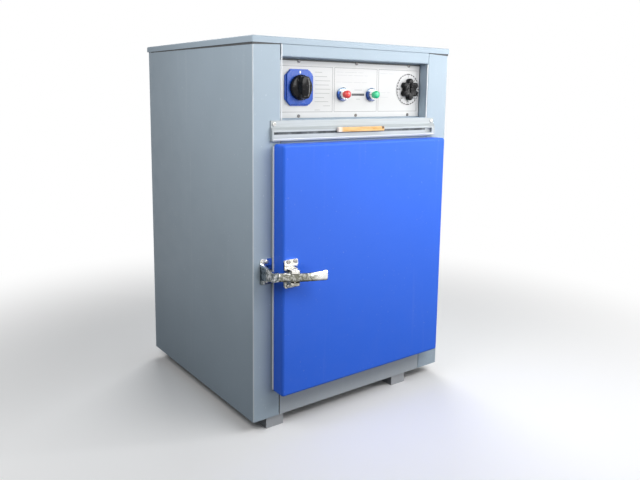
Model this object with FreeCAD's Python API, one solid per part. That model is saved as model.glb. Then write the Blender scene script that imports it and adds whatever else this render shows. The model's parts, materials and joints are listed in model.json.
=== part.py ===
import FreeCAD, Part
import math
import os

# A bench dry heat sterilizer: a painted sheet cabinet round an insulated steel chamber, with a blue
# door hinged on its right, a pull latch on its left, and a recessed control panel above the door.
# Millimetres. +Z is up, the door faces -Y and +X is to the right of someone who faces the door.
# The origin is the centre of the whole object's box, on the surface that the feet stand on.

Vector = FreeCAD.Vector
RIGHT = Vector(1, 0, 0)
BACK = Vector(0, 1, 0)
UP = Vector(0, 0, 1)
LEFT = -RIGHT
FORWARD = -BACK
DOWN = -UP

# Cabinet
body_width = 420.0
body_depth = 395.0
body_height = 600.0
sheet = 1.2
fold_radius = 2.4
post_width = 50.0
rear_flange = 15.0
seam = 0.8
seat_gap = 0.3
cutter_overrun = 5.0
edge_tolerance = 0.03
line_tolerance_deg = 1.0

# Lid
lid_skirt = 10.0
lid_overhang = 2.0
lid_corner_radius = 2.5
top_flange = 14.0

# Feet
foot_height = 20.0
foot_width = 33.0
foot_depth = 40.0
foot_setback = 4.0
left_foot_margin = 27.0
right_foot_margin = 82.0
foot_sheet = 2.0

# Control recess and its panel
top_rail_height = 19.4
recess_height = 96.0
recess_depth = 21.5
panel_thickness = 1.5
panel_margin = 1.4
panel_lip = 12.0
panel_screw_inset = 4.6
panel_screw_shares = (-0.697, 0.05, 0.816)

# Chamber and its mouth
chamber_door_overlap = 23.0
chamber_rear_space = 88.0
liner_sheet = 1.0
mouth_margin = 7.5
mouth_setback = 2.0
mouth_trim_thickness = 3.0

# Insulation and the wiring space
insulation_gap = 0.5
rear_slab_thickness = 50.0
top_slab_thickness = 44.0
wiring_floor_gap = 4.0
base_flange = 15.0

# Shelf runners and wire shelves
runner_first_height = 92.5
runner_top_gap = 85.1
runner_count = 4
runner_leg = 12.0
runner_ledge = 10.0
runner_front_gap = 16.7
shelf_levels = (0, 2)
shelf_front_gap = 37.0
shelf_rear_gap = 6.0
shelf_side_gap = 1.6
shelf_rim_radius = 3.0
shelf_corner_radius = 14.0
shelf_wire_radius = 1.5
shelf_wire_count = 13
shelf_brace_count = 2
shelf_brace_radius = 2.0

# Heating elements and their cover
heater_radius = 4.0
heater_height = 15.0
heater_leg_spacing = 64.0
heater_offset_share = 0.485
heater_front_gap = 34.0
heater_tail_stand = 14.5
heater_bend_share = 0.49
bush_radius = 7.0
bush_clearance = 0.1
bush_front = 6.0
bush_stand = 4.5
cover_height = 32.0
cover_side_gap = 1.5
cover_front_gap = 12.0
cover_rear_gap = 10.0
cover_hole_radius = 6.0
cover_hole_rows = 6
cover_hole_columns = 7

# Thermostat, its probe, its dial and its knob
dial_wall_gap = 1.7
dial_rise_share = 0.52
dial_radius = 28.5
dial_thickness = 0.8
thermostat_size = 44.0
thermostat_depth = 32.0
capillary_radius = 1.2
capillary_bend = 12.0
bulb_radius = 3.2
bulb_length = 80.0
bulb_drop = 11.0
bulb_rear_gap = 18.0
capillary_clearance = 0.8
clip_width = 12.0
clip_length = 8.0
clip_clearance = 0.1
clip_wall = 2.0
clip_shares = (0.25, 0.75)
thermostat_knob_radius = 19.5
thermostat_knob_height = 10.0
knob_lobes = 6
knob_lobe_turn = 30.0
knob_lobe_share = 0.28
knob_core_share = 0.68
knob_rib_width = 3.0
knob_rib_height = 1.2
shaft_radius = 3.0
shaft_clearance = 0.05
knob_gap = 0.4
knob_skirt_share = 0.32
knob_grip_share = 0.42
knob_edge_radius = 0.9

# Selector switch
switch_wall_gap = 20.5
switch_rise_share = 0.52
switch_base_width = 55.0
switch_base_margin = 19.0
switch_base_thickness = 2.0
switch_face_side_step = 2.5
switch_face_top_step = 2.0
switch_face_thickness = 2.6
switch_chamfer = 6.0
switch_body_size = 42.0
switch_body_depth = 38.0
switch_knob_radius = 20.0
switch_knob_height = 19.0

# Indicator lamps
lamp_place_shares = (-0.141, 0.259)
lamp_rise_share = 0.416
lamp_bezel_radius = 11.5
lamp_bezel_thickness = 5.0
lamp_bezel_chamfer = 1.2
lamp_collar_radius = 8.6
lamp_collar_length = 7.0
lamp_body_radius = 8.0
lamp_body_length = 26.0
lamp_hole_clearance = 0.1
lens_radius = 7.0
lens_seat_depth = 2.5
lens_collar = 3.0
lens_dome_share = 0.75
lens_gap = 0.2

# Rear terminals and inlet
terminal_width = 60.0
terminal_depth = 22.0
terminal_height = 18.0
terminal_side_gap = 70.0
terminal_rear_gap = 60.0
terminal_bore_radius = 3.0
terminal_ways = 5
gland_side_gap = 60.0
gland_drop = 60.0
gland_radius = 11.0
gland_flats = 6
gland_nut_length = 9.0
gland_collar_length = 5.0
gland_collar_radius = 8.5
gland_bore_radius = 4.0
gland_thread_radius = 7.5
gland_thread_length = 12.0

# Air vent under the control recess
rail_left_margin = 31.5
rail_right_margin = 34.5
rail_top_drop = 1.0
rail_height = 31.5
rail_depth = 6.0
rail_web = 1.0
rail_flat = 10.0
rail_flat_depth = 1.6
rail_lip = 1.2
rail_upper_lip_drop = 17.6
rail_lower_lip_rise = 5.9
rail_bottom_wall = 2.0
rail_left_end = 2.5
rail_right_end = 7.5
shutter_thickness = 2.0
shutter_gap = 0.4
vent_travel = 15.0
vent_hole_radius = 1.3
vent_hole_count = 9
vent_hole_inset = 57.0
pull_length = 101.0
pull_height = 8.0
pull_thickness = 4.6
pull_drop = 2.6
pull_shift = -2.0
pull_neck_length = 60.0
pull_neck_height = 2.0
pull_edge_radius = 1.2
rail_screw_inset = 5.5

# Door
door_left_margin = 36.0
door_right_margin = 31.0
door_bottom_height = 44.5
door_top_gap = 4.0
door_front_reach = 30.0
door_back_gap = 4.5
door_edge_radius = 4.5
door_flange = 28.0
inner_panel_thickness = 1.0
inner_panel_margin = 2.0
gasket_margin = 3.0
gasket_width = 10.0
door_screw_inset = 21.0
door_screw_columns = 3
door_screw_rows = 3

# Hinges on the right edge of the door
hinge_length = 62.0
hinge_end_margin = 46.0
knuckle_radius = 4.6
knuckle_gap = 0.4
hinge_leaf = 2.0
hinge_pin_radius = 2.4
hinge_pin_clearance = 0.05
hinge_pin_cap_radius = 3.6
hinge_pin_cap_height = 2.0
hinge_frame_leaf_reach = 18.0
hinge_door_leaf_reach = 20.0
hinge_middle_share = 0.4
hinge_side_gap = 0.3
hinge_leaf_screw_share = 0.6
hinge_post_screw_share = 0.38
hinge_edge_screw_share = 0.2
door_swing = 105.0

# Latch on the left edge of the door, and its keeper on the left post
latch_height = 248.0
latch_base_width = 25.0
latch_base_height = 45.0
latch_base_thickness = 3.0
latch_base_inset = 1.0
latch_base_radius = 3.0
latch_waist_cut = 6.0
latch_waist_height = 17.5
latch_screw_rise_share = 0.42
latch_screw_shares = (0.28, 0.8)
latch_pivot_inset = 11.0
latch_pivot_reach = 17.0
latch_ear_radius = 8.0
latch_ear_thickness = 5.0
latch_pin_radius = 2.5
latch_pin_clearance = 0.05
latch_pin_head_radius = 3.8
latch_pin_head_height = 1.6
lever_height = 14.0
lever_drop = 2.5
lever_gap = 0.4
lever_boss_radius = 6.6
lever_tongue_root_shares = (0.6, 0.75)
lever_arm_root_share = 0.2
lever_thickness = 4.4
lever_bend_reach = 14.0
lever_bend_stand = 9.0
lever_handle_length = 50.0
lever_handle_stand = 16.2
lever_tip_length = 11.0
lever_tip_flare = 1.6
lever_edge_radius = 0.8
keeper_left_margin = 12.5
keeper_width = 20.5
keeper_plate_height = 41.0
keeper_thickness = 2.0
keeper_arm_thickness = 3.5
keeper_arm_root_height = 27.0
keeper_lip_length = 9.5
keeper_lip_thickness = 3.5
keeper_lip_height = 14.0
keeper_stand = 11.0
keeper_screw_share = 0.55
keeper_screw_rise_share = 0.38
tongue_gap = 0.5
tongue_thickness = 4.0
tongue_end_gap = 1.5
tongue_flat = 6.0

# Screws
screw_head_radius = 3.4
screw_head_height = 2.0
screw_shank_radius = 1.7
screw_shank_length = 6.0
screw_slot_width = 0.9
screw_slot_depth = 0.9
screw_slot_share = 1.3
screw_hole_clearance = 0.1
small_screw_share = 0.75
rear_screw_rows = 4

# Places that follow from the sizes above
front_reach = door_front_reach + latch_pivot_reach + lever_handle_stand + lever_thickness / 2
rear_reach = gland_nut_length + gland_collar_length
front_y = (front_reach - body_depth - rear_reach) / 2
rear_y = front_y + body_depth
left_x = -body_width / 2
right_x = body_width / 2
base_z = foot_height
top_z = base_z + body_height
opening_half = body_width / 2 - post_width
recess_top_z = top_z - top_rail_height
recess_floor_z = recess_top_z - recess_height
panel_front_y = front_y + recess_depth
panel_back_y = panel_front_y + panel_thickness
rail_left_x = left_x + rail_left_margin
rail_right_x = right_x - rail_right_margin
rail_top_z = recess_floor_z - rail_top_drop
rail_bottom_z = rail_top_z - rail_height
door_left_x = left_x + door_left_margin
door_right_x = right_x - door_right_margin
door_bottom_z = base_z + door_bottom_height
door_top_z = rail_bottom_z - door_top_gap
chamber_floor_z = door_bottom_z + chamber_door_overlap
chamber_top_z = door_top_z - chamber_door_overlap
chamber_half = opening_half - mouth_margin
mouth_y = front_y + mouth_setback
liner_front_y = mouth_y + mouth_trim_thickness
chamber_back_y = rear_y - chamber_rear_space
lower_rail_top_z = chamber_floor_z - mouth_margin
middle_rail_bottom_z = chamber_top_z + mouth_margin
top_slab_z = chamber_top_z + liner_sheet + insulation_gap
shelf_plate_z = top_slab_z + top_slab_thickness + wiring_floor_gap
lid_top_z = top_z + lid_skirt
panel_top_z = lid_top_z - sheet - seat_gap
rear_flange_y = rear_y - sheet
slab_front_y = front_y + recess_depth + sheet + insulation_gap
slab_back_y = chamber_back_y + liner_sheet + insulation_gap + rear_slab_thickness
base_pan_half = body_width / 2 - sheet - seat_gap
slab_outer_half = base_pan_half - sheet - seat_gap
slab_inner_half = chamber_half + liner_sheet + insulation_gap
door_front_y = front_y - door_front_reach
door_back_y = front_y - door_back_gap
dial_x = opening_half - dial_wall_gap - dial_radius
dial_z = recess_floor_z + recess_height * dial_rise_share
switch_x = switch_wall_gap + switch_base_width / 2 - opening_half
switch_z = recess_floor_z + recess_height * switch_rise_share
switch_base_height = recess_height - 2 * switch_base_margin
lamp_places = [opening_half * share for share in lamp_place_shares]
lamp_z = recess_floor_z + recess_height * lamp_rise_share
gland_x = right_x - gland_side_gap
gland_z = top_z - gland_drop
latch_z = base_z + latch_height
lever_z = latch_z - lever_drop
pivot_x = door_left_x + latch_pivot_inset
pivot_y = door_front_y - latch_pivot_reach
hinge_x = door_right_x + knuckle_gap + knuckle_radius
hinge_y = front_y - knuckle_gap - knuckle_radius
keeper_x = left_x + keeper_left_margin
lip_front_y = door_front_y - keeper_stand
lip_end_x = keeper_x + keeper_lip_length
bulb_z = chamber_top_z - bulb_drop
capillary_y = chamber_back_y - bulb_rear_gap - bulb_length - 2 * capillary_bend
heater_z = chamber_floor_z + heater_height

parts = {}


# Shapes that several pieces share

def box(x_span, y_span, z_span):
    """A block between two x, two y and two z values."""
    corner = Vector(x_span[0], y_span[0], z_span[0])
    return Part.makeBox(x_span[1] - x_span[0], y_span[1] - y_span[0], z_span[1] - z_span[0], corner)


def span(centre, width):
    """The two ends of a width about its centre."""
    return (centre - width / 2, centre + width / 2)


def rod(start, direction, radius, length):
    return Part.makeCylinder(radius, length, start, direction)


def fused(shapes):
    """One solid from touching or overlapping shapes."""
    whole = shapes[0].multiFuse(shapes[1:])
    return whole.removeSplitter()


def drilled(shape, cutters):
    """The shape without its holes, or unchanged where it has none."""
    return shape.cut(Part.makeCompound(cutters)) if cutters else shape


def softened(shape, radius, chosen):
    """The shape with a fillet on each edge that the test picks out."""
    edges = [edge for edge in shape.Edges if chosen(edge)]
    return shape.makeFillet(radius, edges)


def runs_along(edge, direction):
    """Whether a straight edge lies along a direction."""
    if not isinstance(edge.Curve, Part.Line):
        return False
    along = abs(edge.tangentAt(edge.FirstParameter).dot(direction))
    return along > math.cos(math.radians(line_tolerance_deg))


def level(edge, axis, value):
    """Whether a whole edge lies at one value of x, y or z."""
    return all(abs(getattr(vertex.Point, axis) - value) < edge_tolerance for vertex in edge.Vertexes)


def turned_left(direction):
    """A quarter turn to the left, in the plane of a section."""
    return (-direction[1], direction[0])


def section_points(points, thickness, radius, side):
    """Straight and arc pieces of one skin of a folded sheet.

    The skin runs through the points and the metal lies on its left. side 0 is that skin and side 1
    is the one behind it. A fold is an arc whose outer radius is the same whichever way it turns.
    """
    pieces = []
    offset = thickness * side
    steps = list(zip(points[:-1], points[1:]))
    lengths = [math.hypot(b[0] - a[0], b[1] - a[1]) for a, b in steps]
    ways = [((b[0] - a[0]) / n, (b[1] - a[1]) / n) for (a, b), n in zip(steps, lengths)]
    lefts = [turned_left(way) for way in ways]
    here = (points[0][0] + lefts[0][0] * offset, points[0][1] + lefts[0][1] * offset)
    for i in range(len(ways) - 1):
        turn = ways[i][0] * ways[i + 1][1] - ways[i][1] * ways[i + 1][0]
        sense = math.copysign(1, turn)
        half_turn = abs(math.asin(turn)) / 2
        skin_radius = radius if sense > 0 else radius - thickness
        reach = skin_radius * math.tan(half_turn)
        corner = points[i + 1]
        first = (corner[0] - ways[i][0] * reach, corner[1] - ways[i][1] * reach)
        last = (corner[0] + ways[i + 1][0] * reach, corner[1] + ways[i + 1][1] * reach)
        centre = (first[0] + lefts[i][0] * skin_radius * sense, first[1] + lefts[i][1] * skin_radius * sense)
        arc_radius = skin_radius - offset * sense
        out = (corner[0] - centre[0], corner[1] - centre[1])
        size = math.hypot(out[0], out[1])
        middle = (centre[0] + out[0] / size * arc_radius, centre[1] + out[1] / size * arc_radius)
        first = (first[0] + lefts[i][0] * offset, first[1] + lefts[i][1] * offset)
        last = (last[0] + lefts[i + 1][0] * offset, last[1] + lefts[i + 1][1] * offset)
        pieces.append((here, first))
        pieces.append((first, middle, last))
        here = last
    end = points[-1]
    pieces.append((here, (end[0] + lefts[-1][0] * offset, end[1] + lefts[-1][1] * offset)))
    return pieces


def folded_sheet(points, thickness, radius, to_space, run):
    """A folded sheet: its section in two dimensions, set in space and drawn out along run."""
    skin = section_points(points, thickness, radius, 0)
    back = section_points(points, thickness, radius, 1)
    ends = [(skin[-1][-1], back[-1][-1]), (skin[0][0], back[0][0])]
    edges = []
    for piece in skin + back + ends:
        where = [to_space(a, b) for a, b in piece]
        edges.append(Part.Arc(*where).toShape() if len(where) > 2 else Part.makeLine(*where))
    wire = Part.Wire(Part.__sortEdges__(edges))
    return Part.Face(wire).extrude(run)


def plate_outline(points, to_space, run):
    """A flat plate with straight edges: its corners in two dimensions, set in space and drawn out."""
    corners = [to_space(a, b) for a, b in points]
    return Part.Face(Part.makePolygon(corners + corners[:1])).extrude(run)


def bent_rod(points, radius, bend):
    """A round rod along straight runs that are joined by arcs of one radius."""
    edges = []
    here = points[0]
    for before, corner, after in zip(points[:-2], points[1:-1], points[2:]):
        arrive = (corner - before).normalize()
        leave = (after - corner).normalize()
        half_turn = arrive.getAngle(leave) / 2
        reach = bend * math.tan(half_turn)
        first = corner - arrive * reach
        last = corner + leave * reach
        inward = (leave - arrive).normalize()
        middle = corner + inward * (bend / math.cos(half_turn) - bend)
        edges.append(Part.makeLine(here, first))
        edges.append(Part.Arc(first, middle, last).toShape())
        here = last
    edges.append(Part.makeLine(here, points[-1]))
    start_way = (points[1] - points[0]).normalize()
    ring = Part.Wire(Part.makeCircle(radius, points[0], start_way))
    return Part.Wire(edges).makePipeShell([ring], True, False)


def screw(seat, outward, scale=1.0, shank=screw_shank_length):
    """A round-headed screw with a cross recess; seat is the point under its head."""
    head_radius = screw_head_radius * scale
    head_height = screw_head_height * scale
    shank_radius = screw_shank_radius * scale
    slot = (head_radius * screw_slot_share, screw_slot_width * scale, screw_slot_depth * scale)
    head = rod(Vector(), UP, head_radius, head_height)
    head = softened(head, head_height / 2, lambda edge: level(edge, "z", head_height))
    long_span, thin_span = span(0, slot[0]), span(0, slot[1])
    deep_span = (head_height - slot[2], head_height + cutter_overrun)
    head = head.cut(box(long_span, thin_span, deep_span)).cut(box(thin_span, long_span, deep_span))
    whole = fused([head, rod(Vector(), DOWN, shank_radius, shank)])
    whole.Placement = FreeCAD.Placement(seat, FreeCAD.Rotation(UP, outward))
    return whole


def screw_hole(seat, outward, scale=1.0, depth=screw_shank_length):
    """The hole that a screw's shank goes through."""
    radius = (screw_shank_radius + screw_hole_clearance) * scale
    return rod(seat + outward * seat_gap, -outward, radius, depth + seat_gap)


def even_places(first, last, count):
    """Evenly spaced values from the first to the last."""
    return [first + (last - first) * i / (count - 1) for i in range(count)]


# Places of screws and holes that more than one piece takes up

panel_screw_seats = [Vector(opening_half * share, panel_front_y, z)
                     for z in (recess_floor_z + panel_screw_inset, recess_top_z - panel_screw_inset)
                     for share in panel_screw_shares]

keeper_screw_seats = [Vector(keeper_x + keeper_width * keeper_screw_share,
                             front_y - keeper_thickness,
                             latch_z + side * keeper_plate_height * keeper_screw_rise_share)
                      for side in (-1, 1)]

rail_screw_seats = [Vector(x, front_y - rail_flat_depth, rail_top_z - rail_screw_inset)
                    for x in (rail_left_x + rail_screw_inset, rail_right_x - rail_screw_inset)]

hinge_bottoms = (door_bottom_z + hinge_end_margin, door_top_z - hinge_end_margin - hinge_length)


def hinge_screw_levels(share):
    """Heights of a leaf's two screws on each hinge, a share of its length above and below its middle."""
    return [bottom + hinge_length * (side * share + 1 / 2) for bottom in hinge_bottoms for side in (-1, 1)]


frame_leaf_screw_x = hinge_x + hinge_frame_leaf_reach * hinge_leaf_screw_share
door_leaf_screw_y = hinge_y - hinge_door_leaf_reach * hinge_leaf_screw_share
frame_leaf_screw_seats = [Vector(frame_leaf_screw_x, front_y - hinge_leaf, z)
                          for z in hinge_screw_levels(hinge_post_screw_share)]
door_leaf_screw_seats = [Vector(door_right_x + hinge_leaf, door_leaf_screw_y, z)
                         for z in hinge_screw_levels(hinge_edge_screw_share)]

latch_base_x = span(door_left_x + latch_base_inset + latch_base_width / 2, latch_base_width)
latch_screw_rise = latch_base_height * latch_screw_rise_share
latch_screw_seats = [Vector(latch_base_x[0] + latch_base_width * share,
                            door_front_y - latch_base_thickness,
                            latch_z + side * latch_screw_rise)
                     for side in (-1, 1) for share in latch_screw_shares]

rear_screw_seats = [Vector(side * (body_width / 2 - sheet - rear_flange / 2), rear_y, z)
                    for side in (-1, 1)
                    for z in even_places(base_z + rear_flange, top_z - rear_flange, rear_screw_rows)]

vent_hole_places = even_places(rail_left_x + vent_hole_inset, rail_right_x - vent_hole_inset,
                               vent_hole_count)
vent_holes_z = rail_bottom_z + (rail_bottom_wall + rail_lower_lip_rise + shutter_gap) / 2

heater_leg_places = [side * chamber_half * heater_offset_share + leg * heater_leg_spacing / 2
                     for side in (-1, 1) for leg in (-1, 1)]
bush_start_y = chamber_back_y - bush_front
bush_length = slab_back_y + bush_stand - bush_start_y


def vent_holes(shift, y_span):
    """The row of air holes behind the track's lower lip, moved along x."""
    return [rod(Vector(x + shift, y_span[0], vent_holes_z), BACK, vent_hole_radius, y_span[1] - y_span[0])
            for x in vent_hole_places]


def wire_entry_cutters(y_span):
    """Holes for the heating elements' tails and their bushes."""
    radius = bush_radius + bush_clearance
    length = y_span[1] - y_span[0]
    return [rod(Vector(x, y_span[0], heater_z), BACK, radius, length) for x in heater_leg_places]


def capillary_cutter(bottom, top):
    """The hole that the probe's tube drops through."""
    radius = capillary_radius + capillary_clearance
    return rod(Vector(dial_x, capillary_y, bottom), UP, radius, top - bottom)


# Cabinet

def side_panel():
    """The left side sheet: rear flange, side, front post and the post's return along the opening."""
    path = [(left_x + rear_flange, rear_flange_y),
            (left_x, rear_flange_y),
            (left_x, front_y),
            (-opening_half, front_y),
            (-opening_half, front_y + recess_depth)]
    height = panel_top_z - base_z
    return folded_sheet(path, sheet, fold_radius, lambda x, y: Vector(x, y, base_z), UP * height)


def cabinet_sides():
    left = side_panel()
    right = left.mirror(Vector(), RIGHT)
    rear_cutters = [screw_hole(seat, BACK) for seat in rear_screw_seats]
    keeper_cutters = [screw_hole(seat, FORWARD) for seat in keeper_screw_seats]
    rail_cutters = [screw_hole(seat, FORWARD) for seat in rail_screw_seats]
    hinge_cutters = [screw_hole(seat, FORWARD) for seat in frame_leaf_screw_seats]
    parts["left_side_panel"] = drilled(left, rear_cutters + keeper_cutters + rail_cutters)
    parts["right_side_panel"] = drilled(right, rear_cutters + rail_cutters + hinge_cutters)


def front_rail(path):
    """A rail between the two posts, folded along its length."""
    length = 2 * (opening_half - seam)
    to_space = lambda y, z: Vector(seam - opening_half, y, z)
    return folded_sheet(path, sheet, fold_radius, to_space, RIGHT * length)


def front_rails():
    panel_cutters = [screw_hole(seat, FORWARD) for seat in panel_screw_seats]
    top = front_rail([(front_y + top_flange, panel_top_z),
                      (front_y, panel_top_z),
                      (front_y, recess_top_z),
                      (panel_back_y, recess_top_z),
                      (panel_back_y, recess_top_z - panel_lip)])
    middle = front_rail([(panel_back_y, recess_floor_z + panel_lip),
                         (panel_back_y, recess_floor_z),
                         (front_y, recess_floor_z),
                         (front_y, middle_rail_bottom_z),
                         (front_y + recess_depth, middle_rail_bottom_z)])
    bottom = front_rail([(front_y + recess_depth, lower_rail_top_z),
                         (front_y, lower_rail_top_z),
                         (front_y, base_z)])
    air_cutters = vent_holes(0, (front_y - cutter_overrun, front_y + cutter_overrun))
    parts["top_rail"] = drilled(top, panel_cutters)
    parts["middle_rail"] = drilled(middle, panel_cutters + air_cutters)
    parts["bottom_rail"] = bottom


def rear_panel():
    half = body_width / 2 - fold_radius
    plate = box((-half, half), (rear_flange_y, rear_y), (base_z + seat_gap, panel_top_z))
    cutters = [screw_hole(seat, BACK) for seat in rear_screw_seats]
    gland_hole = rod(Vector(gland_x, rear_flange_y - cutter_overrun, gland_z), BACK,
                     gland_thread_radius + screw_hole_clearance, 2 * cutter_overrun + sheet)
    parts["rear_panel"] = drilled(plate, cutters + [gland_hole])
    parts["rear_screws"] = Part.makeCompound([screw(seat, BACK) for seat in rear_screw_seats])


def base_pan():
    """The bottom tray, with its flanges turned up inside the side sheets."""
    y_span = (front_y + sheet + seat_gap, rear_flange_y - sheet - seat_gap)
    outer = box((-base_pan_half, base_pan_half), y_span, (base_z, base_z + base_flange))
    inner_half = base_pan_half - sheet
    inner = box((-inner_half, inner_half), (y_span[0] + sheet, y_span[1] - sheet),
                (base_z + sheet, base_z + base_flange + cutter_overrun))
    outer = softened(outer, fold_radius - sheet, lambda edge: runs_along(edge, UP))
    notch_top = base_z + base_flange + cutter_overrun
    post_notches = [box(span(side * (opening_half + sheet / 2), sheet + 2 * fold_radius),
                        (front_y, front_y + recess_depth + seat_gap),
                        (base_z - cutter_overrun, notch_top)) for side in (-1, 1)]
    screw_notches = [box(span(side * (body_width / 2 - rear_flange / 2), rear_flange + 2 * seat_gap),
                         (rear_flange_y - sheet - screw_shank_length, rear_y),
                         (base_z + sheet, notch_top)) for side in (-1, 1)]
    parts["base_pan"] = outer.cut(inner).cut(Part.makeCompound(post_notches + screw_notches))


def lid():
    """A shallow pan that drops over the top of the cabinet."""
    half = body_width / 2 + lid_overhang
    y_span = (front_y - lid_overhang, rear_y + lid_overhang)
    outer = box((-half, half), y_span, (top_z, lid_top_z))
    outer = softened(outer, lid_corner_radius,
                     lambda edge: runs_along(edge, UP) or level(edge, "z", lid_top_z))
    inner_half = half - sheet
    inner = box((-inner_half, inner_half), (y_span[0] + sheet, y_span[1] - sheet),
                (top_z - cutter_overrun, lid_top_z - sheet))
    inner = softened(inner, lid_corner_radius - sheet,
                     lambda edge: runs_along(edge, UP) or level(edge, "z", lid_top_z - sheet))
    parts["top_lid"] = outer.cut(inner)


def feet():
    """Four folded steel feet, open underneath and behind."""
    solids = []
    for foot_left_x in (left_x + left_foot_margin, right_x - right_foot_margin - foot_width):
        for foot_front_y in (front_y + foot_setback, rear_y - foot_setback - foot_depth):
            x_span = (foot_left_x, foot_left_x + foot_width)
            y_span = (foot_front_y, foot_front_y + foot_depth)
            block = box(x_span, y_span, (0, foot_height))
            hollow = box((x_span[0] + foot_sheet, x_span[1] - foot_sheet),
                         (y_span[0] + foot_sheet, y_span[1] + cutter_overrun),
                         (-cutter_overrun, foot_height - foot_sheet))
            solids.append(block.cut(hollow))
    parts["feet"] = Part.makeCompound(solids)


def shelf_plate():
    """The sheet that parts the wiring space from the insulation."""
    half = slab_outer_half
    plate = box((-half, half), (slab_front_y + sheet, rear_flange_y - sheet - seat_gap - screw_shank_length),
                (shelf_plate_z, shelf_plate_z + sheet))
    parts["wiring_floor"] = plate.cut(capillary_cutter(shelf_plate_z - sheet, shelf_plate_z + 2 * sheet))


# Chamber, insulation, shelves and heating

def chamber():
    """The steel liner: two sides, a rear, a ceiling and a floor, and the trim round its mouth."""
    side_half = chamber_half + liner_sheet
    y_span = (liner_front_y, chamber_back_y)
    z_span = (chamber_floor_z, chamber_top_z)
    parts["chamber_side_walls"] = Part.makeCompound([
        box((-side_half, -chamber_half), y_span, z_span),
        box((chamber_half, side_half), y_span, z_span)])
    rear = box((-side_half, side_half), (chamber_back_y, chamber_back_y + liner_sheet),
               (chamber_floor_z - liner_sheet, chamber_top_z + liner_sheet))
    cut_span = (chamber_back_y - cutter_overrun, chamber_back_y + cutter_overrun)
    parts["chamber_rear_wall"] = drilled(rear, wire_entry_cutters(cut_span))
    ceiling = box((-side_half, side_half), y_span, (chamber_top_z, chamber_top_z + liner_sheet))
    parts["chamber_ceiling"] = ceiling.cut(
        capillary_cutter(chamber_top_z - liner_sheet, chamber_top_z + 2 * liner_sheet))
    floor_span = (chamber_floor_z - liner_sheet, chamber_floor_z)
    parts["chamber_floor"] = box((-side_half, side_half), y_span, floor_span)
    trim_half = opening_half - seat_gap
    trim_bottom = lower_rail_top_z + seat_gap
    trim_top = middle_rail_bottom_z - seat_gap
    trim_y = (mouth_y, liner_front_y)
    parts["chamber_mouth_trim"] = Part.makeCompound([
        box((-trim_half, -chamber_half), trim_y, (trim_bottom, trim_top)),
        box((chamber_half, trim_half), trim_y, (trim_bottom, trim_top)),
        box((-chamber_half, chamber_half), trim_y, (trim_bottom, chamber_floor_z)),
        box((-chamber_half, chamber_half), trim_y, (chamber_top_z, trim_top))])


def insulation():
    """Glass wool slabs between the liner and the cabinet."""
    floor_top = chamber_floor_z - liner_sheet - insulation_gap
    slab_bottom = base_z + sheet + insulation_gap
    side_top = chamber_top_z + liner_sheet
    y_span = (slab_front_y, slab_back_y)
    side_z = (slab_bottom, side_top)
    parts["side_insulation"] = Part.makeCompound([
        box((-slab_outer_half, -slab_inner_half), y_span, side_z),
        box((slab_inner_half, slab_outer_half), y_span, side_z)])
    inner_half = slab_inner_half - insulation_gap
    floor_slab = box((-inner_half, inner_half), y_span, (slab_bottom, floor_top))
    parts["floor_insulation"] = floor_slab
    rear_span = (chamber_back_y + liner_sheet + insulation_gap, slab_back_y)
    rear_slab = box((-inner_half, inner_half), rear_span, (floor_top + insulation_gap, side_top))
    cut_span = (rear_span[0] - cutter_overrun, rear_span[1] + cutter_overrun)
    parts["rear_insulation"] = drilled(rear_slab, wire_entry_cutters(cut_span))
    top_span = (top_slab_z, top_slab_z + top_slab_thickness)
    top_slab = box((-slab_outer_half, slab_outer_half), y_span, top_span)
    parts["top_insulation"] = top_slab.cut(
        capillary_cutter(top_span[0] - insulation_gap, top_span[1] + insulation_gap))


def runner_z(index):
    """The height of a runner's ledge, on which a shelf's rim slides."""
    first = chamber_floor_z + runner_first_height
    return even_places(first, chamber_top_z - runner_top_gap, runner_count)[index]


def shelf_runners():
    solids = []
    y_span = (liner_front_y + runner_front_gap, chamber_back_y - seat_gap)
    for index in range(runner_count):
        ledge_z = runner_z(index)
        for side in (-1, 1):
            wall_x = side * (chamber_half - seat_gap)
            leg_x = sorted((wall_x, wall_x - side * sheet))
            ledge_x = sorted((wall_x, wall_x - side * runner_ledge))
            leg = box(leg_x, y_span, (ledge_z - sheet, ledge_z + runner_leg))
            ledge = box(ledge_x, y_span, (ledge_z - sheet, ledge_z))
            solids.append(fused([leg, ledge]))
    parts["shelf_runners"] = Part.makeCompound(solids)


def wire_shelf(index):
    """A wire shelf: a round rim, two braces across it and wires from front to rear."""
    half = chamber_half - seat_gap - sheet - shelf_side_gap - shelf_rim_radius
    z = runner_z(index) + seat_gap + shelf_rim_radius
    rear = chamber_back_y - shelf_rear_gap - shelf_rim_radius
    front = mouth_y + shelf_front_gap + shelf_rim_radius
    corners = [Vector(0, front, z), Vector(half, front, z), Vector(half, rear, z),
               Vector(-half, rear, z), Vector(-half, front, z), Vector(0, front, z)]
    rim = bent_rod(corners, shelf_rim_radius, shelf_corner_radius)
    wires = [rod(Vector(x, front, z), BACK, shelf_wire_radius, rear - front)
             for x in even_places(-half, half, shelf_wire_count + 2)[1:-1]]
    braces = [rod(Vector(-half, y, z), RIGHT, shelf_brace_radius, 2 * half)
              for y in even_places(front, rear, shelf_brace_count + 2)[1:-1]]
    return fused([rim] + wires + braces)


def shelves():
    for name, index in zip(("lower_shelf", "upper_shelf"), shelf_levels):
        parts[name] = wire_shelf(index)


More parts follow.
